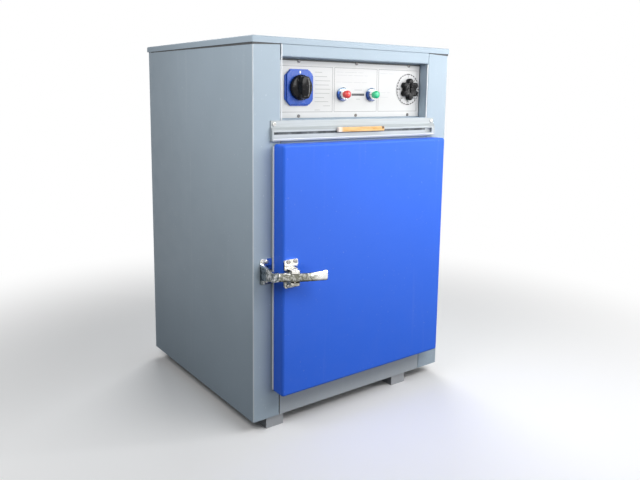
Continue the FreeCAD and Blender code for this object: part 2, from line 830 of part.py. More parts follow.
def heaters():
    """Two hairpin tube elements on the chamber floor, with ceramic bushes and a perforated cover."""
    front = mouth_y + heater_front_gap
    tail_y = slab_back_y + heater_tail_stand
    elements = []
    for side in (-1, 1):
        centre = side * chamber_half * heater_offset_share
        x_near, x_far = span(centre, heater_leg_spacing)
        corners = [Vector(x_near, tail_y, heater_z), Vector(x_near, front, heater_z),
                   Vector(x_far, front, heater_z), Vector(x_far, tail_y, heater_z)]
        elements.append(bent_rod(corners, heater_radius, heater_leg_spacing * heater_bend_share))
    parts["heater_elements"] = Part.makeCompound(elements)
    bushes = []
    for x in heater_leg_places:
        start = Vector(x, bush_start_y, heater_z)
        bore = rod(start, BACK, heater_radius + bush_clearance, bush_length)
        bushes.append(rod(start, BACK, bush_radius, bush_length).cut(bore))
    parts["heater_bushes"] = Part.makeCompound(bushes)
    half = chamber_half - cover_side_gap
    z_top = chamber_floor_z + cover_height
    y_span = (mouth_y + cover_front_gap, bush_start_y - cover_rear_gap)
    path = [(half, chamber_floor_z), (half, z_top), (-half, z_top), (-half, chamber_floor_z)]
    cover = folded_sheet(path, sheet, fold_radius, lambda x, z: Vector(x, y_span[0], z),
                         BACK * (y_span[1] - y_span[0]))
    columns = even_places(-half, half, cover_hole_columns + 2)[1:-1]
    rows = even_places(y_span[0], y_span[1], cover_hole_rows + 2)[1:-1]
    holes = [rod(Vector(x, y, z_top - cutter_overrun), UP, cover_hole_radius, 2 * cutter_overrun)
             for x in columns for y in rows]
    parts["heater_cover"] = drilled(cover, holes)


# Control panel

def on_its_shaft(whole, centre, height):
    """Bores a knob that was built upright, lays it to face forward and sets it in place."""
    bore = rod(DOWN * cutter_overrun, UP, shaft_radius + shaft_clearance, cutter_overrun + height / 2)
    whole = whole.cut(bore)
    whole.rotate(Vector(), RIGHT, 90)
    whole.translate(centre)
    return whole


def bar_knob(centre, radius, height):
    """A moulded knob: a round skirt and a raised bar grip with a pointed end."""
    skirt_height = height * knob_skirt_share
    grip_half = radius * knob_grip_share / 2
    skirt = rod(Vector(), UP, radius, skirt_height)
    skirt = softened(skirt, knob_edge_radius, lambda edge: level(edge, "z", skirt_height))
    inner = radius - 2 * knob_edge_radius
    outline = [(-grip_half, -inner), (grip_half, -inner), (grip_half, inner - grip_half),
               (0, inner), (-grip_half, inner - grip_half)]
    grip = plate_outline(outline, lambda a, b: Vector(a, b, 0), UP * height)
    grip = softened(grip, knob_edge_radius, lambda edge: level(edge, "z", height) or runs_along(edge, UP))
    return on_its_shaft(fused([skirt, grip]), centre, height)


def lobed_knob(centre, radius, height):
    """A moulded knob: lobes around a round core, and a low rib on its face that points at the scale."""
    lobe_radius = radius * knob_lobe_share
    ring = radius - lobe_radius
    lobe_height = height - knob_rib_height
    pieces = [rod(Vector(), UP, radius * knob_core_share, lobe_height)]
    for i in range(knob_lobes):
        angle = math.tau * i / knob_lobes
        place = Vector(ring * math.cos(angle), ring * math.sin(angle), 0)
        pieces.append(rod(place, UP, lobe_radius, lobe_height))
    whole = fused(pieces)
    whole = softened(whole, knob_edge_radius, lambda edge: level(edge, "z", lobe_height))
    whole.rotate(Vector(), UP, knob_lobe_turn)
    rib = box(span(0, knob_rib_width), (0, radius * knob_core_share), (lobe_height / 2, height))
    return on_its_shaft(fused([whole, rib]), centre, height)


def knobs():
    switch_front = panel_front_y - switch_base_thickness - switch_face_thickness
    parts["switch_knob"] = bar_knob(Vector(switch_x, switch_front - knob_gap, switch_z),
                                    switch_knob_radius, switch_knob_height)
    dial_front = panel_front_y - dial_thickness
    parts["thermostat_knob"] = lobed_knob(Vector(dial_x, dial_front - knob_gap, dial_z),
                                          thermostat_knob_radius, thermostat_knob_height)


def shaft_reach(knob_height, stand):
    """How far a shaft stands out of the panel: into its knob's bore, short of the end."""
    return stand + knob_gap + knob_height / 2 - seat_gap


def switch():
    """The selector: a two-layer blue escutcheon in front, and the switch body behind the panel."""
    stand = switch_base_thickness + switch_face_thickness
    notch = switch_chamfer + switch_face_side_step + switch_face_top_step
    half_w, half_h = switch_base_width / 2, switch_base_height / 2
    base_outline = [(half_w - notch, -half_h), (half_w, -half_h + notch), (half_w, half_h - notch),
                    (half_w - notch, half_h), (-half_w + notch, half_h), (-half_w, half_h - notch),
                    (-half_w, -half_h + notch), (-half_w + notch, -half_h)]
    base = plate_outline(base_outline, lambda x, z: Vector(switch_x + x, panel_front_y, switch_z + z),
                         FORWARD * switch_base_thickness)
    half_w, half_h = half_w - switch_face_side_step, half_h - switch_face_top_step
    face_outline = [(half_w - switch_chamfer, -half_h), (half_w, -half_h + switch_chamfer),
                    (half_w, half_h - switch_chamfer), (half_w - switch_chamfer, half_h),
                    (-half_w + switch_chamfer, half_h), (-half_w, half_h - switch_chamfer),
                    (-half_w, -half_h + switch_chamfer), (-half_w + switch_chamfer, -half_h)]
    face_y = panel_front_y - switch_base_thickness
    face = plate_outline(face_outline, lambda x, z: Vector(switch_x + x, face_y, switch_z + z),
                         FORWARD * switch_face_thickness)
    face = softened(face, knob_edge_radius, lambda edge: level(edge, "y", panel_front_y - stand))
    hole = rod(Vector(switch_x, panel_front_y + cutter_overrun, switch_z), FORWARD,
               shaft_radius + screw_hole_clearance, 2 * cutter_overrun + stand)
    parts["switch_escutcheon"] = fused([base, face]).cut(hole)
    body = box(span(switch_x, switch_body_size), (panel_back_y, panel_back_y + switch_body_depth),
               span(switch_z, switch_body_size))
    shaft = rod(Vector(switch_x, panel_back_y, switch_z), FORWARD, shaft_radius,
                panel_thickness + shaft_reach(switch_knob_height, stand))
    parts["switch_body"] = fused([body, shaft])


def thermostat():
    """The capillary thermostat: dial, body and shaft, and the probe that hangs in the chamber."""
    dial = rod(Vector(dial_x, panel_front_y, dial_z), FORWARD, dial_radius, dial_thickness)
    hole = rod(Vector(dial_x, panel_front_y + cutter_overrun, dial_z), FORWARD,
               shaft_radius + screw_hole_clearance, 2 * cutter_overrun)
    parts["thermostat_dial"] = dial.cut(hole)
    back = panel_back_y + thermostat_depth
    body = box(span(dial_x, thermostat_size), (panel_back_y, back), span(dial_z, thermostat_size))
    shaft = rod(Vector(dial_x, panel_back_y, dial_z), FORWARD, shaft_radius,
                panel_thickness + shaft_reach(thermostat_knob_height, dial_thickness))
    parts["thermostat_body"] = fused([body, shaft])
    tube = bent_rod([Vector(dial_x, back, dial_z), Vector(dial_x, capillary_y, dial_z),
                     Vector(dial_x, capillary_y, bulb_z),
                     Vector(dial_x, capillary_y + 2 * capillary_bend, bulb_z)],
                    capillary_radius, capillary_bend)
    bulb = rod(Vector(dial_x, capillary_y + 2 * capillary_bend, bulb_z), BACK, bulb_radius, bulb_length)
    bulb = softened(bulb, bulb_radius / 2, lambda edge: not runs_along(edge, BACK))
    parts["thermostat_probe"] = fused([tube, bulb])
    clips = []
    for share in clip_shares:
        y_middle = capillary_y + 2 * capillary_bend + bulb_length * share
        y_span = span(y_middle, clip_length)
        block = box(span(dial_x, clip_width), y_span, (bulb_z - bulb_radius - clip_wall, chamber_top_z))
        bore = rod(Vector(dial_x, y_span[0] - cutter_overrun, bulb_z), BACK,
                   bulb_radius + clip_clearance, clip_length + 2 * cutter_overrun)
        clips.append(block.cut(bore))
    parts["probe_clips"] = Part.makeCompound(clips)


def lamps():
    """Two panel lamps: a turned housing with its bezel and collar, and a domed lens in the collar."""
    housings = []
    for x in lamp_places:
        bezel = rod(Vector(x, panel_front_y, lamp_z), FORWARD, lamp_bezel_radius, lamp_bezel_thickness)
        front = panel_front_y - lamp_bezel_thickness
        rim = [edge for edge in bezel.Edges if level(edge, "y", front)]
        bezel = bezel.makeChamfer(lamp_bezel_chamfer, rim)
        body = rod(Vector(x, panel_front_y, lamp_z), BACK, lamp_body_radius, lamp_body_length)
        collar = rod(Vector(x, front, lamp_z), FORWARD, lamp_collar_radius, lamp_collar_length)
        socket = rod(Vector(x, front - lamp_collar_length, lamp_z), BACK, lens_radius, lens_seat_depth)
        housings.append(fused([bezel, body, collar]).cut(socket))
    parts["lamp_housings"] = Part.makeCompound(housings)
    for name, x in zip(("red_lamp_lens", "green_lamp_lens"), lamp_places):
        seat = panel_front_y - lamp_bezel_thickness - lamp_collar_length + lens_seat_depth
        radius = lens_radius - lens_gap
        collar = rod(Vector(x, seat, lamp_z), FORWARD, radius, lens_seat_depth + lens_collar)
        dome = Part.makeSphere(radius, Vector(), UP, 0, 90, 360)
        dome.rotate(Vector(), RIGHT, 90)
        stretch = FreeCAD.Matrix()
        stretch.A22 = lens_dome_share
        dome = dome.transformGeometry(stretch)
        dome.translate(Vector(x, seat - lens_seat_depth - lens_collar, lamp_z))
        parts[name] = fused([collar, dome])


def control_panel():
    half = opening_half - panel_margin
    plate = box((-half, half), (panel_front_y, panel_back_y),
                (recess_floor_z + panel_margin, recess_top_z - panel_margin))
    through = (panel_front_y - cutter_overrun, 2 * cutter_overrun + panel_thickness)
    cutters = [screw_hole(seat, FORWARD) for seat in panel_screw_seats]
    lamp_holes = [(x, lamp_z, lamp_body_radius) for x in lamp_places]
    shaft_holes = [(switch_x, switch_z, shaft_radius), (dial_x, dial_z, shaft_radius)]
    for x, z, radius in lamp_holes + shaft_holes:
        cutters.append(rod(Vector(x, through[0], z), BACK, radius + lamp_hole_clearance, through[1]))
    parts["control_panel"] = drilled(plate, cutters)
    parts["panel_screws"] = Part.makeCompound(
        [screw(seat, FORWARD, small_screw_share) for seat in panel_screw_seats])


def terminals():
    """The terminal block in the wiring space, and the cable gland in the rear panel."""
    y_end = rear_flange_y - terminal_rear_gap
    floor_z = shelf_plate_z + sheet
    ends = (right_x - terminal_side_gap - terminal_width, right_x - terminal_side_gap)
    block = box(ends, (y_end - terminal_depth, y_end),
                (floor_z, floor_z + terminal_height))
    places = even_places(ends[0], ends[1], terminal_ways + 2)[1:-1]
    bores = [rod(Vector(x, y_end + cutter_overrun, floor_z + terminal_height / 2), FORWARD,
                 terminal_bore_radius, 2 * cutter_overrun) for x in places]
    parts["terminal_block"] = drilled(block, bores)
    start = Vector(gland_x, rear_y, gland_z)
    angles = [math.tau * i / gland_flats for i in range(gland_flats)]
    corners = [(gland_radius * math.cos(angle), gland_radius * math.sin(angle)) for angle in angles]
    nut = plate_outline(corners, lambda x, z: start + Vector(x, 0, z), BACK * gland_nut_length)
    collar = rod(start + BACK * gland_nut_length, BACK, gland_collar_radius, gland_collar_length)
    thread = rod(start, FORWARD, gland_thread_radius, gland_thread_length)
    bore = rod(start + FORWARD * (gland_thread_length + cutter_overrun), BACK, gland_bore_radius,
               gland_thread_length + gland_nut_length + gland_collar_length + 2 * cutter_overrun)
    parts["cable_gland"] = fused([nut, collar, thread]).cut(bore)


# Air vent

def vent():
    """A track across the front with a sliding shutter in it, and the pull that moves the shutter."""
    x_span = (rail_left_x, rail_right_x)
    y_web = front_y - rail_web
    y_front = front_y - rail_depth
    y_inside = y_front + rail_lip
    upper_lip_z = rail_top_z - rail_upper_lip_drop
    lower_lip_z = rail_bottom_z + rail_lower_lip_rise
    cavity_z = (rail_bottom_z + rail_bottom_wall, upper_lip_z + rail_lip + shutter_gap)
    slope_top_z = rail_top_z - rail_flat
    slope_bottom_z = cavity_z[1] + rail_lip
    outline = [(front_y, rail_bottom_z), (front_y, rail_top_z),
               (front_y - rail_flat_depth, rail_top_z), (front_y - rail_flat_depth, slope_top_z),
               (y_front, slope_bottom_z), (y_front, upper_lip_z), (y_inside, upper_lip_z),
               (y_inside, cavity_z[1]), (y_web, cavity_z[1]), (y_web, cavity_z[0]),
               (y_inside, cavity_z[0]), (y_inside, lower_lip_z), (y_front, lower_lip_z),
               (y_front, rail_bottom_z)]
    track = plate_outline(outline, lambda y, z: Vector(rail_left_x, y, z),
                          RIGHT * (rail_right_x - rail_left_x))
    stops_x = ((x_span[0], x_span[0] + rail_left_end), (x_span[1] - rail_right_end, x_span[1]))
    stops = [box(stop_x, (y_front, front_y), (rail_bottom_z, slope_bottom_z)) for stop_x in stops_x]
    screw_cutters = [screw_hole(seat, FORWARD) for seat in rail_screw_seats]
    air_cutters = vent_holes(0, (y_web - seat_gap, front_y + seat_gap))
    parts["vent_track"] = drilled(fused([track] + stops), screw_cutters + air_cutters)
    shutter_x = (stops_x[0][1] + shutter_gap, stops_x[1][0] - shutter_gap - vent_travel)
    shutter_y = (y_web - shutter_gap - shutter_thickness, y_web - shutter_gap)
    shutter_z = (cavity_z[0] + shutter_gap, cavity_z[1] - shutter_gap)
    parts["vent_shutter"] = drilled(box(shutter_x, shutter_y, shutter_z),
                                    vent_holes(-vent_travel, (y_front, front_y)))
    bar_y = (y_front - seat_gap - pull_thickness, y_front - seat_gap)
    bar_bottom = upper_lip_z - pull_drop
    pull_x = (rail_left_x + rail_right_x) / 2 + pull_shift
    bar = box(span(pull_x, pull_length), bar_y, (bar_bottom, bar_bottom + pull_height))
    bar = softened(bar, pull_edge_radius, lambda edge: not level(edge, "y", bar_y[1]))
    neck = box(span(pull_x, pull_neck_length), (bar_y[1] - seat_gap, shutter_y[0]),
               (bar_bottom + seat_gap, bar_bottom + seat_gap + pull_neck_height))
    parts["vent_pull"] = fused([bar, neck])


# Door

def rounded_pan_block(x_span, y_span, z_span, radius):
    """A block whose front edges and upright corners are rounded."""
    block = box(x_span, y_span, z_span)
    return softened(block, radius, lambda edge: level(edge, "y", y_span[0]) or runs_along(edge, BACK))


def door():
    """The door: a blue outer pan, its inner panel, the glass wool between, and the seal."""
    x_span = (door_left_x, door_right_x)
    y_span = (door_front_y, door_back_y)
    z_span = (door_bottom_z, door_top_z)
    outer = rounded_pan_block(x_span, y_span, z_span, door_edge_radius)
    inside = [(low + sheet, high - sheet) for low, high in (x_span, y_span, z_span)]
    hollow = rounded_pan_block(*inside, door_edge_radius - sheet)
    mouth = box((x_span[0] + door_flange, x_span[1] - door_flange),
                (y_span[1] - 2 * sheet, y_span[1] + cutter_overrun),
                (z_span[0] + door_flange, z_span[1] - door_flange))
    latch_cutters = [screw_hole(seat, FORWARD) for seat in latch_screw_seats]
    hinge_cutters = [screw_hole(seat, RIGHT) for seat in door_leaf_screw_seats]
    inner_back = door_back_y + inner_panel_thickness
    columns = even_places(x_span[0] + door_screw_inset, x_span[1] - door_screw_inset, door_screw_columns)
    rows = even_places(z_span[0] + door_screw_inset, z_span[1] - door_screw_inset, door_screw_rows)
    seats = [Vector(x, inner_back, z) for x in columns for z in rows
             if x in (columns[0], columns[-1]) or z in (rows[0], rows[-1])]
    panel_cutters = [screw_hole(seat, BACK, small_screw_share) for seat in seats]
    pan = outer.cut(hollow).cut(mouth)
    parts["door_outer_pan"] = drilled(pan, latch_cutters + hinge_cutters + panel_cutters)
    inner = box((x_span[0] + inner_panel_margin, x_span[1] - inner_panel_margin), (door_back_y, inner_back),
                (z_span[0] + inner_panel_margin, z_span[1] - inner_panel_margin))
    parts["door_inner_panel"] = drilled(inner, panel_cutters)
    parts["door_panel_screws"] = Part.makeCompound([screw(seat, BACK, small_screw_share) for seat in seats])
    wool_margin = door_screw_inset + screw_head_radius * small_screw_share + insulation_gap
    wool_left = max(wool_margin, latch_base_inset + latch_base_width + insulation_gap)
    wool = box((x_span[0] + wool_left, x_span[1] - max(wool_margin, door_flange)),
               (y_span[0] + sheet + insulation_gap, y_span[1] - sheet - insulation_gap),
               (z_span[0] + wool_margin + sheet, z_span[1] - wool_margin - sheet))
    parts["door_insulation"] = wool
    gasket_y = (inner_back + seat_gap, front_y - seat_gap)
    x_out = (x_span[0] + gasket_margin, x_span[1] - gasket_margin)
    z_out = (z_span[0] + gasket_margin, z_span[1] - gasket_margin)
    x_in = (x_out[0] + gasket_width, x_out[1] - gasket_width)
    parts["door_gasket"] = Part.makeCompound([
        box((x_out[0], x_in[0]), gasket_y, z_out),
        box((x_in[1], x_out[1]), gasket_y, z_out),
        box(x_in, gasket_y, (z_out[0], z_out[0] + gasket_width)),
        box(x_in, gasket_y, (z_out[1] - gasket_width, z_out[1]))])


def hinges():
    """Two butt hinges: a leaf on the post, a leaf on the door's edge, and a loose pin."""
    frame_leaves, door_leaves, pins = [], [], []
    middle = hinge_length * hinge_middle_share
    outer = (hinge_length - middle) / 2
    bore_radius = hinge_pin_radius + hinge_pin_clearance
    for bottom in hinge_bottoms:
        top = bottom + hinge_length
        axis_point = Vector(hinge_x, hinge_y, bottom)
        bore = rod(axis_point + DOWN * cutter_overrun, UP, bore_radius, hinge_length + 2 * cutter_overrun)
        lower = rod(axis_point, UP, knuckle_radius, outer)
        upper = rod(axis_point + UP * (outer + middle), UP, knuckle_radius, outer)
        z_span = (bottom, top)
        post_leaf = box((hinge_x, hinge_x + hinge_frame_leaf_reach), (front_y - hinge_leaf, front_y), z_span)
        joins = [box(span(hinge_x, knuckle_radius), (hinge_y, front_y), join_span)
                 for join_span in ((bottom, bottom + outer), (top - outer, top))]
        gap = box((hinge_x - knuckle_radius - cutter_overrun, hinge_x + knuckle_radius + hinge_side_gap),
                  (hinge_y - knuckle_radius - cutter_overrun, front_y + seat_gap),
                  (bottom + outer - hinge_side_gap, top - outer + hinge_side_gap))
        frame_leaves.append(fused([post_leaf, lower, upper] + joins).cut(bore).cut(gap))
        barrel_bottom = bottom + outer + hinge_side_gap
        barrel_length = middle - 2 * hinge_side_gap
        barrel = rod(Vector(hinge_x, hinge_y, barrel_bottom), UP, knuckle_radius, barrel_length)
        barrel_join = box((door_right_x, hinge_x), span(hinge_y, knuckle_radius),
                          (barrel_bottom, barrel_bottom + barrel_length))
        leaf_x = (door_right_x, door_right_x + hinge_leaf)
        leaf_y = (hinge_y - hinge_door_leaf_reach, hinge_y - knuckle_radius - hinge_side_gap)
        door_leaf = box(leaf_x, leaf_y, z_span)
        tongue = box(leaf_x, (leaf_y[0], hinge_y), (barrel_bottom, barrel_bottom + barrel_length))
        door_leaves.append(fused([door_leaf, tongue, barrel, barrel_join]).cut(bore))
        pin = rod(axis_point, UP, hinge_pin_radius, hinge_length)
        cap = rod(Vector(hinge_x, hinge_y, top), UP, hinge_pin_cap_radius, hinge_pin_cap_height)
        cap_top = top + hinge_pin_cap_height
        cap = softened(cap, hinge_pin_cap_height / 2, lambda edge: level(edge, "z", cap_top))
        pins.append(fused([pin, cap]))
    frame_cutters = [screw_hole(seat, FORWARD) for seat in frame_leaf_screw_seats]
    door_cutters = [screw_hole(seat, RIGHT) for seat in door_leaf_screw_seats]
    parts["hinge_post_leaves"] = Part.makeCompound([drilled(leaf, frame_cutters) for leaf in frame_leaves])
    parts["hinge_door_leaves"] = Part.makeCompound([drilled(leaf, door_cutters) for leaf in door_leaves])
    parts["hinge_pins"] = Part.makeCompound(pins)


# Latch and keeper

def latch_base():
    """A waisted plate on the door with two ears that carry the lever's pin."""
    plate = box(latch_base_x, (door_front_y - latch_base_thickness, door_front_y),
                span(latch_z, latch_base_height))
    plate = softened(plate, latch_base_radius, lambda edge: runs_along(edge, BACK))
    waist = box((latch_base_x[0] - cutter_overrun, latch_base_x[0] + latch_waist_cut),
                (door_front_y - latch_base_thickness - cutter_overrun, door_front_y + cutter_overrun),
                span(lever_z, latch_waist_height))
    plate = plate.cut(waist)
    ear_inner = lever_height / 2 + lever_gap
    ears = []
    for side in (-1, 1):
        z_low = lever_z + (ear_inner if side > 0 else -ear_inner - latch_ear_thickness)
        z_span = (z_low, z_low + latch_ear_thickness)
        nose = rod(Vector(pivot_x, pivot_y, z_low), UP, latch_ear_radius, latch_ear_thickness)
        neck_y = (pivot_y, door_front_y - latch_base_thickness)
        neck = box(span(pivot_x, 2 * latch_ear_radius), neck_y, z_span)
        ear = fused([nose, neck])
        face_z = z_span[1] if side > 0 else z_span[0]
        ears.append(softened(ear, lever_edge_radius, lambda edge: level(edge, "z", face_z)))
    hole_start = Vector(pivot_x, pivot_y, latch_z - latch_base_height)
    pin_hole = rod(hole_start, UP, latch_pin_radius, 2 * latch_base_height)
    cutters = [screw_hole(seat, FORWARD) for seat in latch_screw_seats]
    parts["latch_base"] = drilled(fused([plate] + ears).cut(pin_hole), cutters)
    reach = ear_inner + latch_ear_thickness
    pin = rod(Vector(pivot_x, pivot_y, lever_z - reach), UP, latch_pin_radius, 2 * reach)
    heads = []
    for side in (-1, 1):
        start = Vector(pivot_x, pivot_y, lever_z + side * reach)
        head = rod(start, UP * side, latch_pin_head_radius, latch_pin_head_height)
        end_z = start.z + side * latch_pin_head_height
        heads.append(softened(head, latch_pin_head_height / 2, lambda edge: level(edge, "z", end_z)))
    parts["latch_pin"] = fused([pin] + heads)


def latch_lever():
    """The lever: a tongue behind the keeper's lip, a boss on the pin, and a handle that stands off."""
    bottom = lever_z - lever_height / 2
    tip_x = keeper_x + keeper_arm_thickness + tongue_end_gap
    tongue_front_y = lip_front_y + keeper_lip_thickness + tongue_gap
    tongue_back_y = tongue_front_y + tongue_thickness
    bend = (pivot_x + lever_bend_reach, pivot_y - lever_bend_stand)
    tip = (pivot_x + lever_handle_length, pivot_y - lever_handle_stand)
    half = lever_thickness / 2
    root_x = pivot_x - lever_boss_radius * lever_tongue_root_shares[0]
    root_half = lever_boss_radius * lever_tongue_root_shares[1]
    tongue = plate_outline([(tip_x, tongue_front_y), (tip_x, tongue_back_y),
                            (tip_x + tongue_flat, tongue_back_y),
                            (root_x, pivot_y + root_half),
                            (pivot_x, pivot_y),
                            (root_x, pivot_y - root_half),
                            (tip_x + tongue_flat, tongue_front_y)],
                           lambda x, y: Vector(x, y, bottom), UP * lever_height)
    boss = rod(Vector(pivot_x, pivot_y, bottom), UP, lever_boss_radius, lever_height)
    arm = plate_outline([(pivot_x, pivot_y + lever_boss_radius * lever_arm_root_share),
                         (bend[0], bend[1] + half),
                         (tip[0], tip[1] + half), (tip[0], tip[1] - half), (bend[0], bend[1] - half),
                         (pivot_x, pivot_y - lever_boss_radius)],
                        lambda x, y: Vector(x, y, bottom), UP * lever_height)
    pad_x = (tip[0] - lever_tip_length, tip[0])
    pad_rise = lever_tip_length * (bend[1] - tip[1]) / (tip[0] - bend[0])
    pad = plate_outline([(pad_x[0], tip[1] + half + pad_rise),
                         (pad_x[1], tip[1] + half),
                         (pad_x[1], tip[1] - half),
                         (pad_x[0], tip[1] - half + pad_rise)],
                        lambda x, y: Vector(x, y, bottom - lever_tip_flare),
                        UP * (lever_height + 2 * lever_tip_flare))
    pad = softened(pad, lever_tip_flare,
                   lambda edge: level(edge, "x", pad_x[1]) and not runs_along(edge, UP))
    whole = fused([tongue, boss, arm, pad])
    pin_hole = rod(Vector(pivot_x, pivot_y, bottom - cutter_overrun), UP,
                   latch_pin_radius + latch_pin_clearance, lever_height + 2 * cutter_overrun)
    parts["latch_lever"] = whole.cut(pin_hole)


def keeper():
    """The keeper: a plate on the post, an arm that tapers forward, and the lip the tongue hooks."""
    x_span = (keeper_x, keeper_x + keeper_width)
    plate = box(x_span, (front_y - keeper_thickness, front_y), span(latch_z, keeper_plate_height))
    plate = softened(plate, keeper_thickness, lambda edge: runs_along(edge, BACK))
    root, nose = keeper_arm_root_height / 2, keeper_lip_height / 2
    plate_front_y = front_y - keeper_thickness
    lip_y = (lip_front_y, lip_front_y + keeper_lip_thickness)
    arm = plate_outline([(plate_front_y, latch_z - root), (plate_front_y, latch_z + root),
                         (lip_y[1], latch_z + nose), (lip_y[0], latch_z + nose),
                         (lip_y[0], latch_z - nose), (lip_y[1], latch_z - nose)],
                        lambda y, z: Vector(keeper_x, y, z), RIGHT * keeper_arm_thickness)
    lip = box((keeper_x, lip_end_x), lip_y, span(latch_z, keeper_lip_height))
    lip = softened(lip, keeper_lip_thickness / 3, lambda edge: level(edge, "x", lip_end_x))
    cutters = [screw_hole(seat, FORWARD) for seat in keeper_screw_seats]
    parts["latch_keeper"] = drilled(fused([plate, arm, lip]), cutters)


def fixing_screws():
    """The screws that hold the hinges, the keeper and the vent track, and those on the door."""
    post_seats = keeper_screw_seats + rail_screw_seats + frame_leaf_screw_seats
    parts["front_frame_screws"] = Part.makeCompound([screw(seat, FORWARD) for seat in post_seats])
    on_door = [screw(seat, FORWARD) for seat in latch_screw_seats]
    on_edge = [screw(seat, RIGHT) for seat in door_leaf_screw_seats]
    parts["door_fixing_screws"] = Part.makeCompound(on_door + on_edge)


cabinet_sides()
front_rails()
rear_panel()
base_pan()
lid()
feet()
shelf_plate()
chamber()
insulation()
shelf_runners()
shelves()
heaters()
control_panel()
switch()
thermostat()
lamps()
knobs()
terminals()
vent()
door()
hinges()
latch_base()
latch_lever()
keeper()
fixing_screws()

os.makedirs("parts", exist_ok=True)
for name, shape in parts.items():
    shape.exportStep("parts/" + name + ".step")
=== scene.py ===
import json
import math

import bpy
import numpy as np
from mathutils import Matrix, Vector


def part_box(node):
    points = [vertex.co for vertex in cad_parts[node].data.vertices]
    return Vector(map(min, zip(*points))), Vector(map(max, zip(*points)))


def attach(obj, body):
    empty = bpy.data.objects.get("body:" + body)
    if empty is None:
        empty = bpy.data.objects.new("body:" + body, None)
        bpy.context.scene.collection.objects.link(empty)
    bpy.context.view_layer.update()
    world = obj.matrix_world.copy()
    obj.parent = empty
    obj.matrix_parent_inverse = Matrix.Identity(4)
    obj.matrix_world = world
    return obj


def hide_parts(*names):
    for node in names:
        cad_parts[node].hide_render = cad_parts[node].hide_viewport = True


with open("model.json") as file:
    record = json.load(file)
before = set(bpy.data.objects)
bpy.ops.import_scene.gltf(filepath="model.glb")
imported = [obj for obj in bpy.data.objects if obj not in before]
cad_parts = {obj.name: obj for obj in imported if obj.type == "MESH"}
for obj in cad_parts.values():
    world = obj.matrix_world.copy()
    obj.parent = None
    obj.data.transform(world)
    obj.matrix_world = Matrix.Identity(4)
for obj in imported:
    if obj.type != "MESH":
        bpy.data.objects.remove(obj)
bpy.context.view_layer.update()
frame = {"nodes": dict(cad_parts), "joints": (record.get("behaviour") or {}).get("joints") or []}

nodes = frame["nodes"]


# The viewpoint: a plain lens stands to the left of the oven, at the height of its control panel, so
# that its left side and its front both show. It looks slightly down, and its optical axis passes a
# little above the middle of the picture.
view_turn = 0.6419
view_drop = 0.1491
view_roll = 0.0133
view_place = (-0.7156, -1.0191, 0.5478)
picture_width = 640
focal_pixels = 652.17
axis_pixels_up = 50
ahead = Vector((math.sin(view_turn) * math.cos(view_drop),
                math.cos(view_turn) * math.cos(view_drop),
                -math.sin(view_drop)))
level = Vector((math.cos(view_turn), -math.sin(view_turn), 0))
upright = level.cross(ahead)
across = level * math.cos(view_roll) + upright * math.sin(view_roll)
aloft = upright * math.cos(view_roll) - level * math.sin(view_roll)
camera_data = bpy.data.cameras.new("viewpoint")
camera_data.sensor_width = 36.0
camera_data.lens = focal_pixels * camera_data.sensor_width / picture_width
camera_data.shift_y = -axis_pixels_up / picture_width
camera = bpy.data.objects.new("viewpoint", camera_data)
camera.matrix_world = Matrix.Translation(view_place) @ Matrix((across, aloft, -ahead)).transposed().to_4x4()
bpy.context.scene.collection.objects.link(camera)
bpy.context.scene.camera = camera


# The room: soft boxes above the front, on the left, low in front, on the right and behind, and pale
# air all round. The key box hangs close to the top, so the paint grows darker towards the floor.
def soft_box(name, place, aim, width, height, power):
    """A rectangular lamp at a place, turned to face the point it aims at."""
    data = bpy.data.lights.new(name, "AREA")
    data.shape = "RECTANGLE"
    data.size = width
    data.size_y = height
    data.energy = power
    lamp = bpy.data.objects.new(name, data)
    towards = Vector(aim) - Vector(place)
    turn = towards.to_track_quat("-Z", "Y").to_matrix().to_4x4()
    lamp.matrix_world = Matrix.Translation(place) @ turn
    lamp.visible_camera = False
    bpy.context.scene.collection.objects.link(lamp)


soft_box("key_box", (0.22, -0.67, 0.77), (0.06, -0.17, 0.50), 0.8, 0.4, 5.0)
soft_box("side_box", (-0.66, -0.27, 0.78), (-0.21, -0.10, 0.45), 0.7, 0.4, 2.7)
soft_box("low_box", (0.45, -1.25, 0.16), (0.05, -0.17, 0.08), 0.9, 0.25, 3.0)
soft_box("strip_box", (1.0, -0.80, 0.57), (-0.10, -0.16, 0.55), 0.06, 0.5, 2.3)
soft_box("rear_box", (0.9, 1.6, 1.5), (0.1, 0.2, 0.4), 1.4, 0.9, 24.0)


def join(source, target):
    """Links an output socket to an input socket of the same node tree."""
    source.id_data.links.new(source, target)


def arithmetic(operation, first, second):
    """One math node; each operand is a socket or a number, and at least one is a socket."""
    socket = second if isinstance(first, (int, float)) else first
    made = socket.id_data.nodes.new("ShaderNodeMath")
    made.operation = operation
    for operand, target in zip((first, second), made.inputs):
        if isinstance(operand, (int, float)):
            target.default_value = operand
        else:
            join(operand, target)
    return made.outputs[0]


def mixed_shader(share, first, second):
    """A mix of two shaders by a share: 0 gives the first and 1 the second."""
    made = share.id_data.nodes.new("ShaderNodeMixShader")
    for source, target in zip((share, first, second), made.inputs):
        join(source, target)
    return made.outputs[0]


